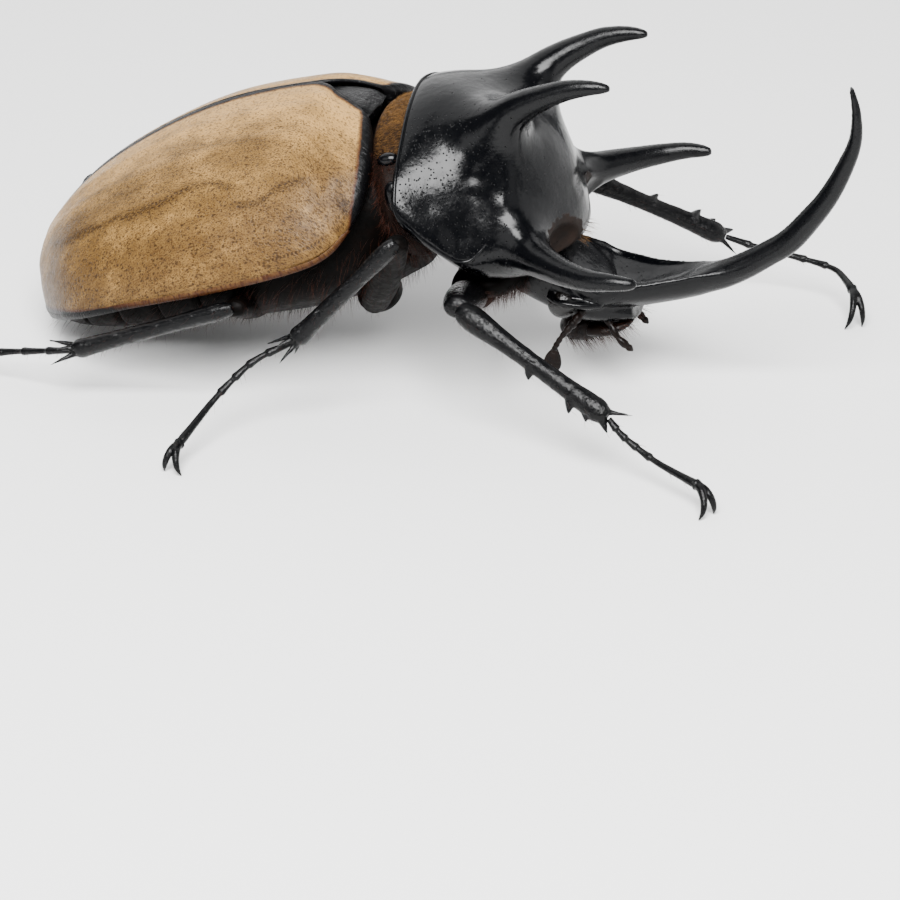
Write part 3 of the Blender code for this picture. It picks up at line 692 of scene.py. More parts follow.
def wingGrid():
    # the whole face with its rolled front and beaded margin
    case = wingCase
    steps, across = case["lengthSteps"], case["widthSteps"]
    rows = smoothPath(case["stations"], steps + 1)
    ways = np.gradient(rows[:, 3:5], axis=0)
    marginAt = int(round(case["rimFrom"] * across))
    curlSpeed, curlTurn = case["curl"]
    flangeFrom = case["flangeFrom"]
    grid = np.zeros((steps + 1, across + 1, 3))
    for i in range(steps + 1):
        aside = np.array((ways[i][1], -ways[i][0], 0)) / np.linalg.norm(ways[i])
        for j in range(marginAt + 1):
            grid[i, j] = wingPoint(rows[i], i / steps, j / marginAt)
        for j in range(marginAt + 1, across + 1):
            s = (j - marginAt) / (across - marginAt)
            curl = min(1.0, s * curlSpeed) * curlTurn
            reach = case["bead"] * sin(curl) if curl < pi else 0.0
            tuck = case["flange"] * max(0.0, s - flangeFrom) / (1 - flangeFrom)
            drop = case["bead"] * (1 - cos(min(curl, pi)))
            grid[i, j] = grid[i, marginAt] + aside * (reach - tuck) + np.array((0, 0, -drop))
    ahead = grid[0] - grid[1]
    ahead /= np.linalg.norm(ahead, axis=1)[:, None]
    outward = np.cross(np.gradient(grid[0], axis=0), ahead)
    outward /= np.linalg.norm(outward, axis=1)[:, None]
    if outward[across // 3][2] < 0:
        outward = -outward
    turns = np.linspace(case["rollTurn"], 0, case["rollSteps"] + 1)[:-1]
    radius = case["rollRadius"]
    rolls = [grid[0] + ahead * radius * sin(turn) - outward * radius * (1 - cos(turn)) for turn in turns]
    return np.concatenate((rolls, grid)), marginAt


def facedIn(bm):
    # the rolled front edge looks up, so the rest looks into the body and the wall grows outwards
    bmesh.ops.recalc_face_normals(bm, faces=bm.faces)
    bm.faces.ensure_lookup_table()
    if bm.faces[len(bm.faces) // 2].normal.z < 0:
        bmesh.ops.reverse_faces(bm, faces=bm.faces)


def makeWingCase(name, side):
    case = wingCase
    grid, marginAt = wingGrid()
    steps, across = len(grid) - 1, case["widthSteps"]
    spread, run = runAlong(grid, 1), runAlong(grid, 0)
    run -= run[case["rollSteps"]]
    bm = bmesh.new()
    bmesh.ops.create_grid(bm, x_segments=steps, y_segments=across, size=1.0)
    skin = bm.verts.layers.float_vector.new("skin")
    for vert in bm.verts:
        i = int(round((vert.co.x + 1) / 2 * steps))
        j = int(round((vert.co.y + 1) / 2 * across))
        vert[skin] = Vector((run[i, j], spread[i, j], spread[i, marginAt] - spread[i, j]))
        x, y, z = grid[i, j]
        vert.co = Vector((x, y * side, z))
    label = "elytron" + name.capitalize()
    piece = makePiece(label, bm, wingShell, "elytron_" + name, faced=facedIn)
    wall = piece.modifiers.new("wall", "SOLIDIFY")
    wall.thickness = case["wall"] * mm
    wall.offset = -1.0


for name, side in sides.items():
    makeWingCase(name, side)
print("stage: wing cases")


# Pronotum and its four horns

pronotum = {
    # half rings from the rear rim to the face, each from the top over the side to the bottom
    "net": (
        ((11.6, 0, -3.2), (11.6, 3.9, -4.0), (11.6, 7.6, -6.0), (11.4, 10.6, -8.2),
         (11.2, 12.0, -10.0), (11.6, 11.0, -12.3), (12.2, 7.4, -15.2), (12.4, 0, -16.4)),
        ((10.2, 0, -1.9), (10.2, 4.4, -2.8), (10.0, 8.5, -5.1), (9.7, 12.0, -7.6),
         (9.6, 13.5, -9.7), (10.1, 12.5, -12.5), (11.0, 8.3, -16.0), (11.5, 0, -17.4)),
        ((10.4, 0, -1.4), (10.4, 4.7, -2.3), (10.2, 9.0, -4.6), (9.9, 12.6, -7.2),
         (9.7, 14.2, -9.9), (10.3, 13.1, -12.9), (11.3, 8.7, -16.4), (11.8, 0, -17.8)),
        ((12.2, 0, -1.3), (12.2, 4.6, -2.2), (12.1, 8.7, -4.6), (12.0, 11.9, -7.8),
         (12.2, 14.0, -13.2), (12.6, 12.6, -15.6), (13.0, 8.3, -18.0), (13.2, 0, -18.6)),
        ((14.8, 0, -1.9), (14.9, 4.4, -2.5), (14.8, 8.3, -5.3), (14.6, 11.2, -9.2),
         (14.7, 12.9, -15.8), (15.0, 11.6, -17.8), (15.0, 7.5, -19.0), (15.0, 0, -19.2)),
        ((17.5, 0, -3.0), (17.6, 4.5, -3.4), (17.4, 7.7, -6.2), (17.1, 10.1, -10.2),
         (17.2, 11.0, -14.7), (17.4, 10.2, -17.8), (17.5, 6.5, -19.6), (17.4, 0, -20.0)),
        ((20.0, 0, -4.5), (20.0, 4.4, -4.9), (19.8, 7.2, -7.2), (19.6, 9.1, -10.2),
         (19.5, 10.1, -14.0), (19.8, 9.2, -17.2), (20.2, 5.9, -20.0), (20.4, 0, -20.8)),
        ((22.1, 0, -6.8), (22.1, 3.9, -7.2), (21.6, 6.3, -8.8), (21.3, 7.7, -11.0),
         (21.3, 8.3, -14.0), (21.8, 7.6, -17.4), (22.4, 4.9, -20.2), (22.7, 0, -20.8)),
        ((23.4, 0, -9.4), (23.3, 2.6, -9.8), (22.9, 4.6, -11.0), (22.7, 5.4, -12.6),
         (22.8, 5.6, -14.8), (23.2, 4.9, -17.2), (23.8, 3.0, -19.2), (24.0, 0, -19.7)),
        ((23.75, 0, -12.4), (23.7, 1.1, -12.5), (23.6, 2.0, -13.0), (23.55, 2.3, -13.8),
         (23.55, 2.4, -14.8), (23.65, 2.1, -15.9), (23.9, 1.3, -16.8), (24.0, 0, -17.1)),
        ((23.95, 0, -14.5), (23.95, 0.12, -14.5), (23.95, 0.22, -14.6), (23.95, 0.25, -14.7),
         (23.95, 0.25, -14.8), (23.95, 0.22, -14.9), (23.95, 0.12, -15.0), (23.95, 0, -15.0)),
    ),
    "ringsAlong": 54,
    "ringsAround": 84,
    # the face in front of this place is smoothed this many times before the horns grow from it
    "faceFrom": 20.6,
    "facePasses": 60,
    # x, y, z, half width and half height
    "upperHorn": (
        (15.4, 4.4, -10.0, 3.0, 3.0),
        (18.3, 5.5, -6.7, 2.6, 2.7),
        (20.7, 6.3, -4.6, 1.95, 2.1),
        (23.0, 6.9, -3.5, 1.5, 1.65),
        (25.4, 7.4, -2.85, 1.22, 1.3),
        (27.6, 7.75, -2.46, 1.04, 1.05),
        (29.8, 7.9, -2.5, 0.84, 0.8),
        (31.4, 7.9, -2.78, 0.6, 0.54),
        (32.2, 7.85, -3.05, 0.3, 0.27),
    ),
    "lowerHorn": (
        (15.4, 6.6, -16.6, 2.6, 2.6),
        (18.4, 8.5, -17.0, 2.4, 2.4),
        (20.7, 10.5, -17.2, 2.0, 2.0),
        (22.8, 12.6, -17.5, 1.62, 1.62),
        (25.2, 14.6, -17.95, 1.3, 1.3),
        (27.8, 16.2, -18.4, 1.08, 1.08),
        (30.2, 16.9, -18.7, 0.88, 0.88),
        (32.0, 17.0, -19.1, 0.64, 0.64),
        (32.8, 16.8, -19.3, 0.32, 0.32),
    ),
    "hornSteps": 100,
    # how far the lower horn on the right hangs below the one on the left
    "droop": 0.5,
    "hornCut": 23.0,
    "voxel": 0.21,
    "passes": 5,
    # how far the upper and lower horns melt into the shield
    "melt": {"upper": 3.4, "lower": 4.0},
    # the dark hollow beside the head, centre and radii, and where its stain ends on the horn's side
    "hollow": ((24.2, 6.7, -19.7), (3.5, 4.5, 3.4)),
    "stainEnd": 9.2,
    # shallow dents in the side, centre, radius and depth
    "dents": (
        ((16.9, 9.5, -8.9), 0.9, 0.2),
        ((16.3, 9.9, -10.6), 0.7, 0.16),
        ((15.6, 10.6, -10.0), 3.0, 0.12),
        ((12.6, 12.6, -10.2), 1.3, 0.1),
        ((19.0, 10.3, -11.9), 0.8, -0.1),
        ((19.9, 11.0, -14.8), 0.8, -0.1),
        ((14.9, 12.4, -14.0), 1.6, 0.2),
    ),
    # the thin raised bead: radius, ring of the net that it follows, point where it turns to the horn
    "bead": 0.2,
    "beadRing": 2.1,
    "beadCorner": 4.25,
    "beadSteps": 220,
}


def faceOrder(face):
    x, y, z = face.calc_center_median()
    return round(z, 4) * 1000 + x * 10 + y


def ellipsoid(centre, radii, segments):
    # the sphere's faces come in another order each run, and the hair's roots depend on it
    bm = bmesh.new()
    bmesh.ops.create_uvsphere(bm, u_segments=segments, v_segments=segments // 2, radius=1.0)
    bm.faces.sort(key=faceOrder)
    bm.verts.layers.float_vector.new("grain")
    bm.transform(Matrix.Translation(centre) @ Matrix.Diagonal((*radii, 1.0)))
    return bm


def netRings(net, along, around):
    # smooth rings through half rings that are mirrored to the right side
    half = np.array(net, float)
    lengthwise = smoothPath(half.reshape(len(half), -1), along).reshape(along, -1, 3)
    rings = []
    for row in lengthwise:
        ring = np.concatenate((row, row[-2:0:-1] * (1, -1, 1)))
        wrapped = np.concatenate((ring[-2:], ring, ring[:3]))
        fine = smoothPath(wrapped, (len(wrapped) - 1) * around // len(ring) + 1)
        start = 2 * around // len(ring)
        rings.append(fine[start:start + around])
    return np.array(rings)


def ringBarrel(rings):
    along, around = rings.shape[:2]

    def shape(t, turn):
        k = int(round(t * (along - 1)))
        m = int(round(turn / (2 * pi) * around)) % around
        place = Vector(rings[k, m])
        return place, place.copy()
    return barrel(along, around, shape)


def hornPath(where, name):
    rows = smoothPath(pronotum[where + "Horn"], pronotum["hornSteps"])
    rows[:, 1] *= sides[name]
    if (where, name) == ("lower", "right"):
        rows[:, 2] -= pronotum["droop"] * np.linspace(0, 2, len(rows)).clip(0, 1)
    return rows


def shieldSkin(parts, horns):
    # the face is evened out, then the horns melt into it and the hollows and dents are pressed in
    case = pronotum
    face = [vert for vert in parts[0].verts if vert.co.x > case["faceFrom"]]
    smoothed(parts[0], face, case["facePasses"])
    facedOut(parts[0])
    tree = BVHTree.FromBMesh(parts[0])
    bm = grownTogether(parts, case["voxel"], case["passes"])
    points = meltInto(np.array([vert.co[:] for vert in bm.verts]), tree, horns)
    (x, y, z), radii = case["hollow"]
    for side in sides.values():
        points = pressedIn(points, (x, y * side, z), radii)
    for vert, point in zip(bm.verts, points):
        vert.co = point
    smoothed(bm, bm.verts, case["passes"])
    bm.normal_update()
    for vert in bm.verts:
        folded = Vector((vert.co.x, abs(vert.co.y), vert.co.z))
        for centre, radius, depth in case["dents"]:
            vert.co -= vert.normal * depth * hump((folded - Vector(centre)).length, radius)
    return bm


def markShield(bm, paths):
    # where blackShell is pitted, wrinkled and stained, and the run of the wrinkles
    layers = {key: bm.verts.layers.float.new(key) for key in ("pitted", "hollow", "wrinkled")}
    grain = bm.verts.layers.float_vector.new("grain")
    hollow, radii = pronotum["hollow"]
    for vert in bm.verts:
        x, y, z = vert.co
        nearest = {key: np.sum((rows[:, :3] - (x, y, z)) ** 2, axis=1) for key, rows in paths.items()}
        best = min(nearest, key=lambda key: nearest[key].min())
        k = int(np.argmin(nearest[best]))
        vert[grain] = Vector((y - paths[best][k][1], z - paths[best][k][2], x))
        # denser pits on the sides and behind, and wrinkles only close to a horn
        vert[layers["pitted"]] = 0.04 + 0.8 * clipped((abs(y) - 5.0) / 4.0) * clipped((20.5 - x) / 4.0)
        vert[layers["wrinkled"]] = clipped((x - 21.5) / 4.5) if nearest[best][k] < 9 else 0.0
        inside = np.linalg.norm((np.array((x, abs(y), z)) - hollow) / radii)
        beside = clipped((pronotum["stainEnd"] - abs(y)) / 1.2)
        vert[layers["hollow"]] = beside * clipped((1.5 - inside) / 0.5)


def hornCuts(bm, paths):
    # a plane across each horn, on which the shield's faces are cut
    cuts = {}
    for key, rows in paths.items():
        k = int(np.argmin(np.abs(rows[:, 0] - pronotum["hornCut"])))
        way = Vector(rows[k + 1][:3] - rows[k - 1][:3]).normalized()
        centre = Vector(rows[k][:3])
        near = [face for face in bm.faces if (face.calc_center_median() - centre).length < 3.6]
        geom = near + list({edge for face in near for edge in face.edges})
        geom += list({vert for face in near for vert in face.verts})
        bmesh.ops.bisect_plane(bm, geom=geom, plane_co=centre, plane_no=way, dist=1e-4)
        cuts[key] = (centre, way)
    return cuts


def separateHorn(bm, centre, way, tip):
    # the faces beyond the cut, reached from the tip
    start = min(bm.faces, key=lambda face: (face.calc_center_median() - tip).length)
    found = {start}
    stack = [start]
    while stack:
        for edge in stack.pop().edges:
            for face in edge.link_faces:
                if face not in found and (face.calc_center_median() - centre).dot(way) > 0:
                    found.add(face)
                    stack.append(face)
    copy = bm.copy()
    copy.faces.ensure_lookup_table()
    bm.faces.index_update()
    keep = {face.index for face in found}
    bmesh.ops.delete(copy, geom=[face for face in copy.faces if face.index not in keep], context="FACES")
    bmesh.ops.delete(bm, geom=list(found), context="FACES")
    for each in (copy, bm):
        bmesh.ops.holes_fill(each, edges=[edge for edge in each.edges if edge.is_boundary], sides=0)
    return copy


def addBead(bm, rings):
    # along the rear rim and forward down to the lower horns
    case = pronotum
    around = case["ringsAround"]
    rimRing = int(round(case["beadRing"] / (len(case["net"]) - 1) * (case["ringsAlong"] - 1)))
    corner = int(round(case["beadCorner"] / (2 * len(case["net"][0]) - 2) * around))
    line = [rings[rimRing, m % around] for m in range(-corner, corner + 1)]
    for k in range(rimRing + 1, case["ringsAlong"] // 2):
        line.append(rings[k, corner])
        line.insert(0, rings[k, (around - corner) % around])
    tree = BVHTree.FromBMesh(bm)
    path = np.array([tree.find_nearest(Vector(point))[0] for point in line])
    rows = smoothPath([(*point, case["bead"], case["bead"]) for point in path[::2]], case["beadSteps"])
    taper = np.linspace(0.3, 1, 6)[:, None]
    rows[:6, 3:] *= taper
    rows[-6:, 3:] *= taper[::-1]
    bead = tube(rows, 10, up=(0.35, 0.1, -0.94))
    bmesh.ops.recalc_face_normals(bead, faces=bead.faces)
    absorb(bm, bead)


def makeShield():
    case = pronotum
    rings = netRings(case["net"], case["ringsAlong"], case["ringsAround"])
    paths = {(where, name): hornPath(where, name) for name in sides for where in case["melt"]}
    parts = [ringBarrel(rings)] + [tube(rows, 28) for rows in paths.values()]
    bm = shieldSkin(parts, [(rows, case["melt"][where]) for (where, _), rows in paths.items()])
    markShield(bm, paths)
    for (where, name), (centre, way) in hornCuts(bm, paths).items():
        horn = separateHorn(bm, centre, way, Vector(paths[where, name][-1][:3]))
        label = f"{where}Horn{name.capitalize()}"
        makePiece(label, horn, blackShell, f"horn_{where}_{name}", sharp=60)
    addBead(bm, rings)
    makePiece("pronotumShield", bm, blackShell, "pronotum", sharp=60)


makeShield()
print("stage: pronotum")


# Head and its horn: two keels run up from the head and meet in one ridge

headHorn = {
    # x, z, half width, height above and below
    "rows": (
        (19.5, -21.6, 4.4, 1.2, 4.2),
        (22.4, -23.4, 5.2, 1.1, 3.7),
        (24.2, -24.6, 5.3, 0.7, 3.1),
        (26.0, -25.0, 4.7, 0.35, 2.9),
        (28.0, -25.3, 3.8, 0.15, 2.9),
        (30.0, -25.5, 3.05, 0.15, 2.8),
        (32.0, -25.6, 2.45, 0.25, 2.7),
        (34.0, -25.7, 2.0, 0.55, 2.5),
        (36.3, -26.0, 1.6, 1.0, 1.9),
        (38.5, -25.9, 1.45, 1.3, 1.35),
        (41.0, -25.1, 1.35, 1.25, 1.2),
        (43.6, -24.0, 1.25, 1.2, 1.2),
        (46.2, -22.1, 1.15, 1.1, 1.1),
        (48.7, -19.9, 1.0, 0.95, 0.95),
        (51.0, -17.1, 0.85, 0.8, 0.8),
        (52.48, -14.7, 0.68, 0.62, 0.62),
        (53.16, -12.1, 0.5, 0.45, 0.45),
        (53.25, -9.9, 0.3, 0.28, 0.28),
        (53.22, -9.2, 0.12, 0.12, 0.12),
    ),
    "count": 150,
    "around": 56,
    # place across and half width of the keels, their height, and how far the face sinks between them
    "keel": (0.94, 0.06),
    "keelLift": 0.6,
    "dish": 1.1,
    "meetAt": 36.0,
    # past the meeting point: height and half width of the ridge
    "ridge": (0.16, 0.2),
    # depth, place and half width of the groove on each side of it
    "groove": (0.08, 0.95, 0.25),
    "cutAt": 25.2,
    "tip": (53.3, 0, -9.2),
    "voxel": 0.16,
    "passes": 5,
}
head = {
    # x at top, side and bottom, half width, z at top, side and bottom, roundness
    "rows": (
        (15.0, 15.0, 15.0, 3.6, -18.0, -21.0, -24.4, 2.2),
        (18.5, 18.5, 18.5, 4.9, -19.4, -22.8, -26.6, 2.4),
        (21.5, 21.5, 21.5, 5.3, -21.2, -24.6, -28.2, 2.6),
        (23.4, 23.4, 23.6, 4.9, -23.4, -26.0, -28.8, 2.6),
        (25.2, 25.2, 25.6, 3.6, -25.8, -27.4, -29.2, 2.4),
        (26.6, 26.6, 26.8, 2.6, -27.4, -28.4, -29.3, 2.2),
    ),
    # the cheek ridge that runs over the eye
    "cheek": ((24.4, 4.4, -26.2, 0.6, 0.4), (22.6, 5.3, -25.5, 0.8, 0.45), (20.9, 5.7, -24.7, 0.8, 0.4),
              (19.6, 5.2, -23.9, 0.6, 0.4)),
    "eye": ((20.6, 4.9, -25.2), (1.5, 1.4, 1.5)),
    "jaw": ((21.8, 2.0, -29.3, 1.3, 0.8), (23.6, 2.3, -29.6, 1.2, 0.65), (25.2, 1.9, -29.5, 0.85, 0.45),
            (26.2, 1.1, -29.2, 0.35, 0.25)),
    "chin": ((20.6, 0, -29.4), (2.6, 2.6, 1.7)),
}


def hornBarrel(rows):
    case = headHorn
    ways = np.gradient(rows[:, :2], axis=0)
    lengths = runAlong(rows[:, :2])

    def shape(t, turn):
        k = int(round(t * (len(rows) - 1)))
        x, z, wide, above, below = rows[k]
        way = ways[k] / np.linalg.norm(ways[k])
        lean = Vector((-way[1], 0, way[0]))
        high = (above if sin(turn) > 0 else below) * sin(turn)
        out = wide * cos(turn)
        apart = clipped((case["meetAt"] - x) / 9.0)
        if sin(turn) > 0:
            high -= case["dish"] * apart * sin(turn) ** 3
        if sin(turn) > -0.1:
            high += case["keelLift"] * hump(abs(cos(turn)) - case["keel"][0], case["keel"][1]) * apart
        joined = clipped((x - case["meetAt"] + 3) / 5.0) * min(1.0, wide / 0.8)
        height, half = case["ridge"]
        high += height * joined * hump(turn - pi / 2, half)
        depth, at, half = case["groove"]
        out *= 1 - depth * joined * hump(abs(abs(turn) - pi / 2) - at, half)
        place = Vector((x, out, z)) + lean * high
        return place, Vector((out, high, lengths[k]))
    return barrel(len(rows), case["around"], shape)


def sideways(rows, side):
    return np.array(rows, float) * ((1, side) + (1,) * (len(rows[0]) - 2))


def makeHead():
    case = headHorn
    rows = smoothPath(case["rows"], case["count"])
    parts = [hornBarrel(rows), sectionBarrel(smoothPath(head["rows"], 24), 48)]
    parts += [tube(smoothPath(sideways(head["cheek"], side), 24), 16) for side in sides.values()]
    bm = grownTogether(parts, case["voxel"], case["passes"])
    wrinkled, pitted = (bm.verts.layers.float.new(key) for key in ("wrinkled", "pitted"))
    grain = bm.verts.layers.float_vector.new("grain")
    for vert in bm.verts:
        k = int(np.argmin((rows[:, 0] - vert.co.x) ** 2 + (rows[:, 1] - vert.co.z) ** 2))
        vert[grain] = Vector((vert.co.y, vert.co.z - rows[k, 1], 0.35 * k))
        # wrinkles grow along the horn, and pits fade from the head on to it
        vert[wrinkled] = max(0.15, clipped((vert.co.x - 29.0) / 8))
        vert[pitted] = 0.3 * clipped((30 - vert.co.x) / 4)
    centre, way = Vector((case["cutAt"], 0, -25.0)), Vector((1, 0, 0))
    geom = list(bm.verts) + list(bm.edges) + list(bm.faces)
    bmesh.ops.bisect_plane(bm, geom=geom, plane_co=centre, plane_no=way, dist=1e-4)
    horn = separateHorn(bm, centre, way, Vector(case["tip"]))
    makePiece("headHorn", horn, blackShell, "head_horn", sharp=60)
    makePiece("headCapsule", bm, blackShell, "head", sharp=60)


def makeMouth():
    jaws = [tube(smoothPath(sideways(head["jaw"], side), 22), 16) for side in sides.values()]
    jaws.append(ellipsoid(*head["chin"], 32))
    makePiece("mouthJaws", grownTogether(jaws, 0.15, 3), feelerShell, "mouthparts")
    (x, y, z), radii = head["eye"]
    for name, side in sides.items():
        eye = ellipsoid((x, y * side, z), radii, 40)
        makePiece("eye" + name.capitalize(), eye, eyeShell, "eye_" + name)


feeler = {
    "stalk": ((22.6, 4.6, -26.2, 0.45, 0.45), (21.6, 6.0, -27.0, 0.5, 0.5), (20.4, 6.6, -27.9, 0.32, 0.32),
              (19.4, 6.7, -28.9, 0.34, 0.34), (18.9, 6.6, -29.6, 0.3, 0.3)),
    "palp": ((23.6, 2.6, -27.6, 0.4, 0.4), (24.4, 3.3, -28.9, 0.42, 0.42), (24.9, 3.6, -30.2, 0.36, 0.36),
             (25.6, 3.5, -31.3, 0.45, 0.45), (26.0, 3.4, -31.9, 0.15, 0.15)),
    # joints and how far the thickness drops between them
    "stalkJoints": (9, 0.35),
    "palpJoints": (4, 0.3),
    # a leaf of the club, and how far each of its points spreads for one step of the fan
    "leaf": ((19.1, 6.6, -29.3, 0.2, 0.2), (18.7, 6.5, -30.1, 0.22, 0.4), (18.3, 6.3, -31.1, 0.22, 0.45),
             (18.1, 6.2, -31.7, 0.12, 0.18)),
    "spread": (0.3, 0.8, 1.0, 1.1),
    "fans": (-0.55, 0.0, 0.55),
}


def beaded(rows, joints, drop):
    # a path whose thickness swells at each joint
    waves = np.abs(np.cos(pi * joints * np.arange(len(rows)) / (len(rows) - 1))) ** 6
    rows[:, 3:5] *= (1 - drop * waves)[:, None]
    return rows


def makeFeelers(name, side):
    case = feeler
    label = name.capitalize()
    parts = [tube(beaded(smoothPath(sideways(case["stalk"], side), 40), *case["stalkJoints"]), 12)]
    for fan in case["fans"]:
        leaf = [(x + fan * spread, *others) for (x, *others), spread in zip(case["leaf"], case["spread"])]
        parts.append(tube(smoothPath(sideways(leaf, side), 14), 12, up=(1, 0, 0.2)))
    antenna = grownTogether(parts, 0.09, 3)
    makePiece("antenna" + label, antenna, feelerShell, "antenna_" + name)
    palp = tube(beaded(smoothPath(sideways(case["palp"], side), 30), *case["palpJoints"]), 14)
    makePiece("palp" + label, palp, feelerShell, "palp_" + name)


makeHead()
makeMouth()
for name, side in sides.items():
    makeFeelers(name, side)
print("stage: head")


# Collar, scutellum and underside

trunk = {
    "collar": (
        (6.3, 7.4, 7.4, 11.4, -3.3, -11.0, -18.6, 2.0),
        (8.0, 8.2, 8.6, 12.0, -3.2, -11.0, -18.6, 2.0),
        (9.9, 8.9, 10.6, 11.6, -3.4, -10.6, -18.0, 2.0),
    ),
    "scutellum": (
        (0.2, 0.2, 0.2, 0.1, -0.3, -0.6, -1.0, 2.4),
        (1.4, 1.4, 1.4, 0.95, -0.55, -1.0, -1.6, 2.8),
        (2.8, 2.8, 2.8, 1.9, -1.05, -1.6, -2.3, 3.2),
        (4.4, 4.3, 4.4, 2.9, -1.95, -2.6, -3.4, 3.2),
        (5.6, 5.0, 5.4, 3.1, -2.9, -3.5, -4.2, 3.0),
    ),
    # upright sections: x, half width, z at top, side and bottom, roundness
    "thorax": (
        (6.9, 10.8, -4.6, -11.5, -20.0, 2.1),
        (3.0, 12.2, -4.2, -13.0, -21.0, 2.2),
        (-2.0, 14.5, -2.9, -14.3, -21.2, 2.2),
        (-8.0, 15.0, -2.4, -14.7, -21.0, 2.2),
    ),
    "abdomen": (
        (-8.3, 15.0, -2.4, -14.7, -20.8, 2.2),
        (-14.0, 14.8, -3.0, -15.0, -20.6, 2.2),
        (-20.0, 13.7, -4.5, -15.5, -20.2, 2.2),
        (-26.0, 11.6, -7.2, -16.3, -19.8, 2.2),
        (-31.0, 8.1, -11.0, -17.1, -19.4, 2.1),
        (-34.2, 3.8, -15.0, -17.3, -18.6, 2.0),
    ),
    "segments": 6,
    "segmentSteps": 16,
    # depth of the grooves between the segments and their two half widths
    "groove": (0.035, 0.05, 0.03),
    "frontChest": ((14.2, 0, -21.2), (4.6, 8.5, 2.6)),
    # small black plates on each side of the collar, centre and radii
    "plates": (((8.5, 9.1, -6.0), (1.15, 0.7, 0.75)), ((8.2, 9.0, -6.9), (0.75, 0.7, 0.85)),
               ((9.0, 11.3, -9.4), (1.0, 0.8, 1.9))),
}


def upright(rows):
    return [(row[0], row[0], *row) for row in rows]


def makeTrunk():
    case = trunk
    collar = sectionBarrel(smoothPath(case["collar"], 14))
    makePiece("collarRing", collar, collarSkin, "mesothorax", sharp=50)
    scutellum = sectionBarrel(smoothPath(case["scutellum"], 48))
    makePiece("scutellumPlate", scutellum, legShell, "scutellum")
    thorax = sectionBarrel(smoothPath(upright(case["thorax"]), 20))
    makePiece("hindChest", thorax, undersideShell, "metathorax", sharp=50)
    steps = case["segments"] * case["segmentSteps"]
    depth, behind, before = case["groove"]
    rows = smoothPath(upright(case["abdomen"]), steps + 1)
    for k, row in enumerate(rows):
        s = (case["segments"] * k / steps) % 1.0
        share = 1 - depth * (hump(s, behind) + hump(1 - s, before))
        row[3] *= share
        row[6] = row[5] + (row[6] - row[5]) * share
    makePiece("abdomenSegments", sectionBarrel(rows), undersideShell, "abdomen", sharp=50)
    chest = ellipsoid(*case["frontChest"], 40)
    makePiece("frontChest", chest, undersideShell, "prosternum")
    for name, side in sides.items():
        plates = [ellipsoid((x, y * side, z), radii, 32) for (x, y, z), radii in case["plates"]]
        grown = grownTogether(plates, 0.12, 3)
        makePiece("collarPlates" + name.capitalize(), grown, blackShell, None)


makeTrunk()
print("stage: trunk")


# Legs, in millimetres above the ground, x and y from under the tip of the scutellum;
# edge is the way that the shin's outer edge looks, and hook how far the claws turn aside

legs = {
    "front_right": dict(
        hip=(17.6, -6.5, 10.6), knee=(19.2, -17.0, 13.7), ankle=(35.5, -21.7, 6.3), edge=(-0.4, -0.5, -0.8),
        toe=((36.9, -22.1, 5.0), (38.5, -22.2, 3.8), (41.2, -23.4, 2.9), (45.4, -26.0, 2.6)), hook=-0.5),
    "front_left": dict(
        hip=(17.6, 6.5, 10.6), knee=(21.8, 17.9, 14.5), ankle=(37.1, 23.9, 6.5), edge=(0.0, 0.8, 0.6),
        toe=((40.9, 24.8, 5.2), (45.6, 24.8, 4.5), (49.4, 23.7, 4.1), (51.7, 20.8, 3.4)), hook=-0.8),
    "middle_right": dict(
        hip=(7.6, -7.0, 8.2), knee=(13.2, -17.0, 20.1), ankle=(3.5, -20.0, 9.5), edge=(-0.36, -0.78, 0.5),
        toe=((0.3, -21.8, 8.0), (-1.6, -23.3, 6.4), (-3.3, -25.9, 4.5), (-4.8, -31.2, 2.4)), hook=0.4),
    "middle_left": dict(
        hip=(7.6, 7.0, 8.2), knee=(12.0, 18.6, 18.6), ankle=(2.4, 24.0, 7.6), edge=(-0.36, 0.78, 0.5),
        toe=((0.1, 26.0, 5.8), (-2.0, 28.2, 4.2), (-4.6, 31.0, 3.0), (-8.6, 34.4, 2.4)), hook=0.4),
    "hind_right": dict(
        hip=(-5.0, -6.2, 6.4), knee=(-3.4, -18.0, 11.3), ankle=(-19.9, -20.0, 5.4),
        edge=(-0.1, -0.75, 0.65),
        toe=((-24.3, -19.1, 4.3), (-28.6, -18.4, 3.3), (-32.4, -19.2, 2.7), (-37.2, -22.0, 2.4)), hook=0.4),
    "hind_left": dict(
        hip=(-5.0, 6.2, 6.4), knee=(-4.4, 18.4, 10.6), ankle=(-20.8, 22.4, 4.9), edge=(-0.1, 0.75, 0.65),
        toe=((-24.6, 23.4, 3.9), (-28.4, 24.6, 3.0), (-32.4, 26.6, 2.6), (-36.9, 29.9, 2.4)), hook=0.4),
}
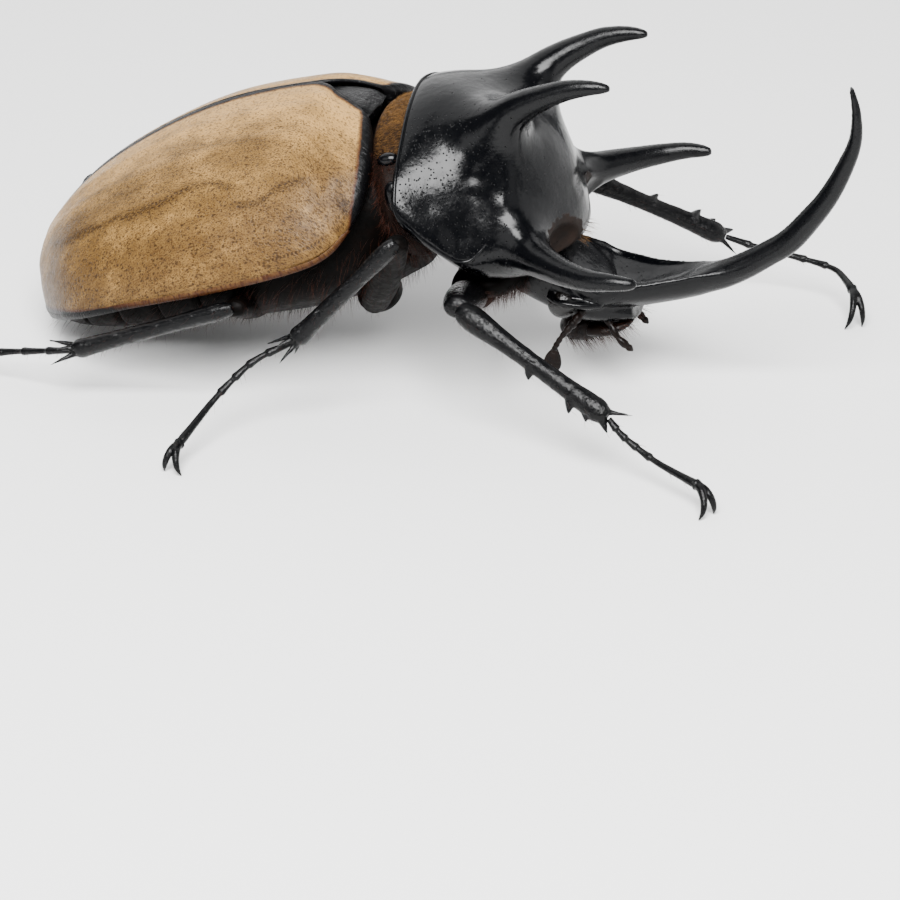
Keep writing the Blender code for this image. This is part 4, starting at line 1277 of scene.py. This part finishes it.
limb = {
    "frontCoxa": (2.4, 3.6, 2.3),
    "backCoxa": (2.2, 3.3, 1.8),
    "backCoxaLift": 0.6,
    # teeth: place along the shin, length, lean towards the foot, root radius; minus is on the inner edge
    "frontTeeth": ((0.5, 0.8, 0.1, 0.95), (0.78, 1.1, 0.1, 1.05), (0.86, 0.75, 0.4, 0.85),
                   (0.96, 0.4, 0.9, 0.8), (0.95, -0.8, 1.5, 0.42)),
    "backTeeth": ((0.42, 0.3, 0.6, 0.45), (0.66, 0.45, 0.6, 0.5), (0.955, 0.9, 1.1, 0.5),
                  (0.95, -0.9, 1.0, 0.45)),
    # place along and half width
    "femur": ((0, 1.4), (0.08, 1.75), (0.3, 2.05), (0.6, 1.95), (0.85, 1.6), (0.96, 1.35), (1.0, 0.8)),
    "backFemur": 0.84,
    "frontShin": ((0, 0.8), (0.04, 1.15), (0.12, 1.3), (0.3, 1.02), (0.52, 0.92), (0.75, 1.02), (0.93, 1.2),
                  (1.0, 0.75)),
    "backShin": ((0, 0.65), (0.05, 0.98), (0.14, 1.1), (0.35, 0.98), (0.6, 1.0), (0.85, 1.08), (0.96, 1.2),
                 (1.0, 0.8)),
    "tarsus": ((-0.06, 0.26), (0.04, 0.33), (0.3, 0.36), (0.7, 0.42), (0.93, 0.48), (1.0, 0.3)),
    "tarsusJoints": (0.0, 0.19, 0.36, 0.52, 0.67, 1.0),
    "claw": ((0, 0.45), (0.25, 0.42), (0.5, 0.36), (0.75, 0.27), (1.0, 0.06)),
    "clawTurn": radians(115),
    "flat": 0.8,
    # the two long spurs at the foot's root: length, radius, bend and how far they part
    "spur": (3.0, 0.36, 0.4, 0.35),
    "hook": 0.55,
    "voxel": 0.11,
    # height and scale of the lumps
    "femurRough": (0.02, 1.6),
    "shinRough": (0.03, 1.5),
}


def spine(base, tip, radius, hook=0.0, way=(0, 0, 0)):
    # a tapering thorn, bent over to one side towards its tip
    bend = np.array(way, float) * hook
    rows = []
    for t, share in ((0.0, 1.0), (0.25, 0.8), (0.5, 0.55), (0.8, 0.3), (1.0, 0.1)):
        rows.append((*(base + (tip - base) * t + bend * t * t), radius * share, radius * share))
    return tube(smoothPath(rows, 14), 12, up=(0.3, 0.2, 1))


def straight(start, end, widths, thick=1.0, wide=1.0, high=1.0):
    # rows of a limb from one joint to the next
    rows = []
    for t, half in widths:
        rows.append((*(start + (end - start) * t), half * thick * wide, half * thick * high))
    return rows


def roughen(bm, amount, scale):
    # small knobs and dents, as on the real shins
    bm.normal_update()
    for vert in bm.verts:
        lump = noise.noise(vert.co * scale) + 0.5 * noise.noise(vert.co * scale * 2.3)
        vert.co += vert.normal * lump * amount


def labelOf(name):
    return "".join(part.capitalize() for part in name.split("_"))


def makeShin(front, start, ankle, edge, run):
    aside = np.cross(run, edge)
    rows = straight(start, ankle, limb["frontShin"] if front else limb["backShin"], wide=limb["flat"])
    parts = [tube(smoothPath(rows, 40), 24, up=tuple(edge))]
    for t, length, lean, radius in limb["frontTeeth"] if front else limb["backTeeth"]:
        base = start + (ankle - start) * t
        way = edge * np.sign(length) + run * lean
        parts.append(spine(base, base + way * (0.8 + abs(length)), radius, limb["hook"], run))
    if not front:
        length, radius, bend, apart = limb["spur"]
        for sway in (apart, -apart):
            base = ankle - run * 0.5 + aside * sway
            tip = base + (run + edge * 0.5 + aside * sway) * length
            parts.append(spine(base, tip, radius, bend, -edge))
    shin = grownTogether(parts, limb["voxel"], 3)
    roughen(shin, *limb["shinRough"])
    return shin


def makeTarsus(path):
    steps = np.linspace(0, 1, len(path))
    bounds = limb["tarsusJoints"]
    joints = []
    for first, last in zip(bounds, bounds[1:]):
        rows = []
        for t, half in limb["tarsus"]:
            at = clipped(first + (last - first) * t)
            rows.append((*[np.interp(at, steps, path[:, i]) for i in range(3)], half, half * 0.9))
        joints.append(tube(smoothPath(rows, 20), 16))
    return grownTogether(joints, 0.11, 2)


def makeClaws(path, hook):
    end = path[-1]
    ahead = path[-1] - path[-5]
    ahead[2] = 0
    ahead = ahead / np.linalg.norm(ahead)
    aside = np.cross((0, 0, 1), ahead)
    radius = end[2] / 1.42
    pieces = [spine(end - ahead * 0.15, end + ahead * 1.3, 0.62)]
    for spreadBy in (hook + 1.0, hook - 1.0):
        rows = []
        for t, half in limb["claw"]:
            turn = limb["clawTurn"] * t
            place = end + ahead * (0.15 + radius * sin(turn)) + aside * spreadBy * t
            place[2] = max(end[2] - radius * (1 - cos(turn)) - 0.06 * t, half * 0.5)
            rows.append((*place, half, half))
        pieces.append(tube(smoothPath(rows, 24), 14, up=tuple(aside)))
    return grownTogether(pieces, 0.07, 2)


def makeLeg(name, sizes):
    front = name.startswith("front")
    hip, knee, ankle, edge = (np.array(sizes[key], float) for key in ("hip", "knee", "ankle", "edge"))
    run = (ankle - knee) / np.linalg.norm(ankle - knee)
    edge = edge - run * np.dot(edge, run)
    edge = edge / np.linalg.norm(edge)
    lift = (0, 0, 0 if front else limb["backCoxaLift"])
    rows = straight(hip, knee, limb["femur"], 1.0 if front else limb["backFemur"], high=limb["flat"])
    femur = tube(smoothPath(rows, 44), 28)
    roughen(femur, *limb["femurRough"])
    path = smoothPath(np.vstack((ankle + run * 0.2, np.array(sizes["toe"], float))), 61)
    parts = {
        "coxa": ellipsoid(hip * (1.0, 0.72, 1.0) + lift, limb["frontCoxa" if front else "backCoxa"], 32),
        "femur": femur,
        "tibia": makeShin(front, knee + run * 0.2, ankle, edge, run),
        "tarsus": makeTarsus(path),
        "claws": makeClaws(path, sizes["hook"]),
    }
    for key, bm in parts.items():
        # the coxae and the middle and hind femurs take the darker, duller underside skin as painted shade,
        # since they hang in the shade under the body
        shadedUnderBody = key == "coxa" or key == "femur" and not front
        sharp = 60 if key == "femur" else None
        shell = undersideShell if shadedUnderBody else legShell
        makePiece(key + labelOf(name), bm, shell, f"{key}_{name}", legPlace, sharp)


for name, sizes in legs.items():
    makeLeg(name, sizes)
print("stage: legs")


# Hair: tapered copies of one small template, joined to a mesh

coats = {
    # piece it grows on, tries, seed, part of the skin, way out, then forward, left and up, length, radius
    "collarDown": dict(
        on=("collarRing",), tries=22000, seed=3, part="upper", out=0.45, lie=(0.9, 0.0, 0.1),
        length=(0.4, 0.8), radius=0.02, finish="gold", slot="collar"),
    "collarFringe": dict(
        on=("collarRing",), tries=9000, seed=4, part="lower", out=0.8, lie=(0.3, 0.0, -0.3),
        length=(0.7, 1.5), radius=0.02, finish="red", slot="collar"),
    "flankFringe": dict(
        on=("hindChest", "abdomenSegments"), tries=4200, seed=5, part="flank", out=0.8,
        lie=(-0.5, 0.0, -0.25), length=(1.2, 2.6), radius=0.019, finish="red", slot="underside"),
    "chestHair": dict(
        on=("frontChest", "hindChest"), tries=5000, seed=6, part="belly", out=0.7, lie=(-0.5, 0.0, -0.3),
        length=(0.7, 1.6), radius=0.017, finish="red", slot="underside"),
    "mouthBrush": dict(
        on=("mouthJaws",), tries=1200, seed=7, part="front", out=0.6, lie=(0.7, 0.0, -0.6),
        length=(0.7, 1.5), radius=0.02, finish="red", slot="feelers"),
    "faceFringe": dict(
        on=("pronotumShield",), tries=15000, seed=8, part="seam", out=0.4, lie=(0.9, 0.0, -0.2),
        length=(0.6, 1.2), radius=0.022, finish="gold", slot="collar"),
}
legHair = dict(part="lean", out=0.7, length=(0.35, 0.8), radius=0.018, finish="red")
legTries = {"femur": 150, "tibia": 150, "tarsus": 60}
# how hairs differ in direction, how they droop, how deep they are set and how low they may reach
hairs = {"stray": 0.16, "droop": (0.0, 0.0, -0.22), "drift": 0.12, "root": 0.06, "lowest": 0.0001}
# the unwrap of the body that the hair takes its places from: axis height, first and last x
unwrap = {"axis": -12.0, "rear": -40.0, "front": 60.0, "patch": 0.0015}


def hairTemplate():
    bm = bmesh.new()
    bmesh.ops.create_cone(bm, cap_ends=True, segments=3, radius1=1, radius2=0.2, depth=1)
    cutAcross(bm, 2)
    bmesh.ops.translate(bm, verts=bm.verts, vec=(0, 0, 0.5))
    bmesh.ops.triangulate(bm, faces=bm.faces)
    bmesh.ops.recalc_face_normals(bm, faces=bm.faces)
    bm.verts.index_update()
    points = np.array([vert.co[:] for vert in bm.verts])
    faces = np.array([[vert.index for vert in face.verts] for face in bm.faces])
    bm.free()
    return points, faces


def rootsOn(piece, tries, rng):
    # random places on a finished skin and the ways out of it, in the body's millimetres
    mesh = piece.data
    mesh.calc_loop_triangles()
    points = np.empty(len(mesh.vertices) * 3)
    mesh.vertices.foreach_get("co", points)
    corners = np.empty(len(mesh.loop_triangles) * 3, int)
    mesh.loop_triangles.foreach_get("vertices", corners)
    a, b, c = (points.reshape(-1, 3)[corners.reshape(-1, 3)[:, i]] for i in range(3))
    crossed = np.cross(b - a, c - a)
    area = np.linalg.norm(crossed, axis=1)
    picked = rng.choice(len(area), tries, p=area / area.sum())
    u, v = rng.random((2, tries, 1))
    u, v = np.where(u + v > 1, 1 - u, u), np.where(u + v > 1, 1 - v, v)
    places = a[picked] + (b - a)[picked] * u + (c - a)[picked] * v
    back = np.array(bodyPlace.inverted())
    ways = (crossed / area[:, None])[picked] @ (back[:3, :3] * mm).T
    return places @ back[:3, :3].T + back[:3, 3], ways


def inPart(part, places, ways):
    x, y, z = places.T
    side = np.abs(y)
    return {
        "upper": (z > -5.9) & (x > 6.4) & (x < 9.6) & (ways[:, 2] > 0.1),
        "lower": (z <= -5.4) & (z > -17.0) & (x > 6.4) & (x < 9.8) & (side > 6.0),
        "flank": (side > 8.5 - 0.12 * np.minimum(x + 24.0, 0) ** 2) & (x < 6.5)
        & (z > -18.5) & (z < -13.0 + 0.12 * np.minimum(x, 0)) & (ways[:, 2] > -0.62),
        "belly": (ways[:, 2] < -0.3) & (z < -19.0),
        "front": (x > 23.0) | (z < -29.8),
        "seam": (x > 22.6) & (side < 2.0) & (z < -18.9) & (z > -20.6),
        "lean": (ways[:, 2] < 0.35),
    }[part]


def unit(ways):
    return ways / np.linalg.norm(ways, axis=1)[:, None]


def hairMesh(name, places, ways, lie, case, rng):
    # one bent and tapered copy of the template on each place
    points, faces = hairTemplate()
    count, along = len(places), points[:, 2]
    lengths = rng.uniform(*case["length"], (count, 1))
    ways = unit(ways * case["out"] + np.array(lie) + rng.normal(0, hairs["stray"], (count, 3)))
    bends = np.array(hairs["droop"]) + rng.normal(0, hairs["drift"], (count, 3))
    aside = unit(np.cross(ways, (0.3, 0.5, 0.8)))
    other = np.cross(ways, aside)
    rise, bend = along[None, :, None], (along ** 2)[None, :, None]
    skin = places[:, None] - ways[:, None] * hairs["root"]
    skin = skin + (ways[:, None] * rise + bends[:, None] * bend) * lengths[:, None]
    thick = aside[:, None] * points[None, :, :1] + other[:, None] * points[None, :, 1:2]
    skin = skin + thick * case["radius"]
    ahead = np.array(bodyPlace)
    world = skin.reshape(-1, 3) @ ahead[:3, :3].T + ahead[:3, 3]
    world[:, 2] = np.maximum(world[:, 2], hairs["lowest"])
    triangles = (faces[None] + (np.arange(count) * len(points))[:, None, None]).reshape(-1, 3)
    mesh = bpy.data.meshes.new(name)
    mesh.from_pydata(world.tolist(), [], triangles.tolist())
    shares = np.stack([along * 0, along * 0, along], 1)[None].repeat(count, 0)
    mesh.attributes.new("grain", "FLOAT_VECTOR", "POINT").data.foreach_set("vector", shares.ravel())
    turn = np.arctan2(places[:, 1], places[:, 2] - unwrap["axis"]) / (2 * pi) + 0.5
    share = (places[:, 0] - unwrap["rear"]) / (unwrap["front"] - unwrap["rear"])
    patch = (points[:, (0, 2)] - (0, 0.5))[None] * unwrap["patch"]
    roots = np.stack([turn, share], 1)[:, None] + patch
    corners = np.empty(len(mesh.loops), int)
    mesh.loops.foreach_get("vertex_index", corners)
    mesh.uv_layers.new(name="OFBake").data.foreach_set("uv", roots.reshape(-1, 2)[corners].ravel())
    addPiece(name, mesh, hairShells[case["finish"]])
    return count


def makeCoats():
    for name, case in coats.items():
        rng = np.random.default_rng(case["seed"])
        found = [rootsOn(bpy.data.objects[on], case["tries"], rng) for on in case["on"]]
        places, ways = (np.concatenate(rows) for rows in zip(*found))
        kept = inPart(case["part"], places, ways)
        print("hairs", name, hairMesh(name, places[kept], ways[kept], case["lie"], case, rng))


def makeLegHair():
    rng = np.random.default_rng(11)
    for leg, sizes in legs.items():
        lie = (Vector(sizes["ankle"]) - Vector(sizes["knee"])).normalized() * 0.8
        for key, tries in legTries.items():
            case = dict(legHair, slot="feet" if key == "tarsus" else "legs")
            places, ways = rootsOn(bpy.data.objects[key + labelOf(leg)], tries, rng)
            kept = inPart(case["part"], places, ways)
            hairMesh(key + "Hair" + labelOf(leg), places[kept], ways[kept], tuple(lie), case, rng)


makeCoats()
makeLegHair()
print("stage: hair")


# Camera, floor and lights

view = {
    # the camera's place in mm from the tip of the scutellum
    "fromTip": (104.89, -314.74, 126.63),
    "azimuth": radians(16.188),
    "elevation": radians(26.86),
    "lens": 140.0,
    "sensor": 36.0,
}


def makeCamera():
    data = bpy.data.cameras.new("photoCamera")
    data.lens = view["lens"]
    data.sensor_width = view["sensor"]
    data.clip_start = 0.01
    camera = addObject("photoCamera", data)
    tip = underTip + Vector((0, 0, stance["rise"] * mm))
    camera.location = tip + Vector(view["fromTip"]) * mm
    camera.rotation_euler = (pi / 2 - view["elevation"], 0, view["azimuth"])
    bpy.context.scene.camera = camera


def makeFloor():
    pale = newMaterial("paleFloor", Roughness=0.7, Base_Color=(0.68, 0.68, 0.675, 1))[0]
    bm = bmesh.new()
    bmesh.ops.create_grid(bm, x_segments=1, y_segments=1, size=4.0)
    mesh = meshOf("floor", bm)
    mesh.materials.append(pale)
    addObject("floor", mesh)


lights = {
    # place, size and power of each soft light, all aimed at the beetle
    "key": ((0.07, -0.30, 0.38), 0.30, 12.0),
    "side": ((-0.30, -0.46, 0.26), 0.30, 0.8),
    "fill": ((0.50, -0.20, 0.20), 0.35, 0.5),
    "back": ((-0.25, 0.34, 0.40), 0.80, 4.6),
    "rim": ((0.54, 0.36, 0.14), 0.80, 4.4),
}
room = {"Color": (0.95, 0.96, 1.0, 1), "Strength": 0.25}


def makeLights():
    aim = Vector((0, 0, 0.02))
    for name, (place, size, power) in lights.items():
        data = bpy.data.lights.new(name, "AREA")
        data.size = size
        data.energy = power
        light = addObject(name, data)
        light.location = place
        light.rotation_euler = (aim - Vector(place)).to_track_quat("-Z", "Y").to_euler()
    world = bpy.data.worlds.new("paleRoom")
    world.use_nodes = True
    fill(world.node_tree.nodes["Background"], room)
    bpy.context.scene.world = world


makeCamera()
makeFloor()
makeLights()
print("stage: camera and light")
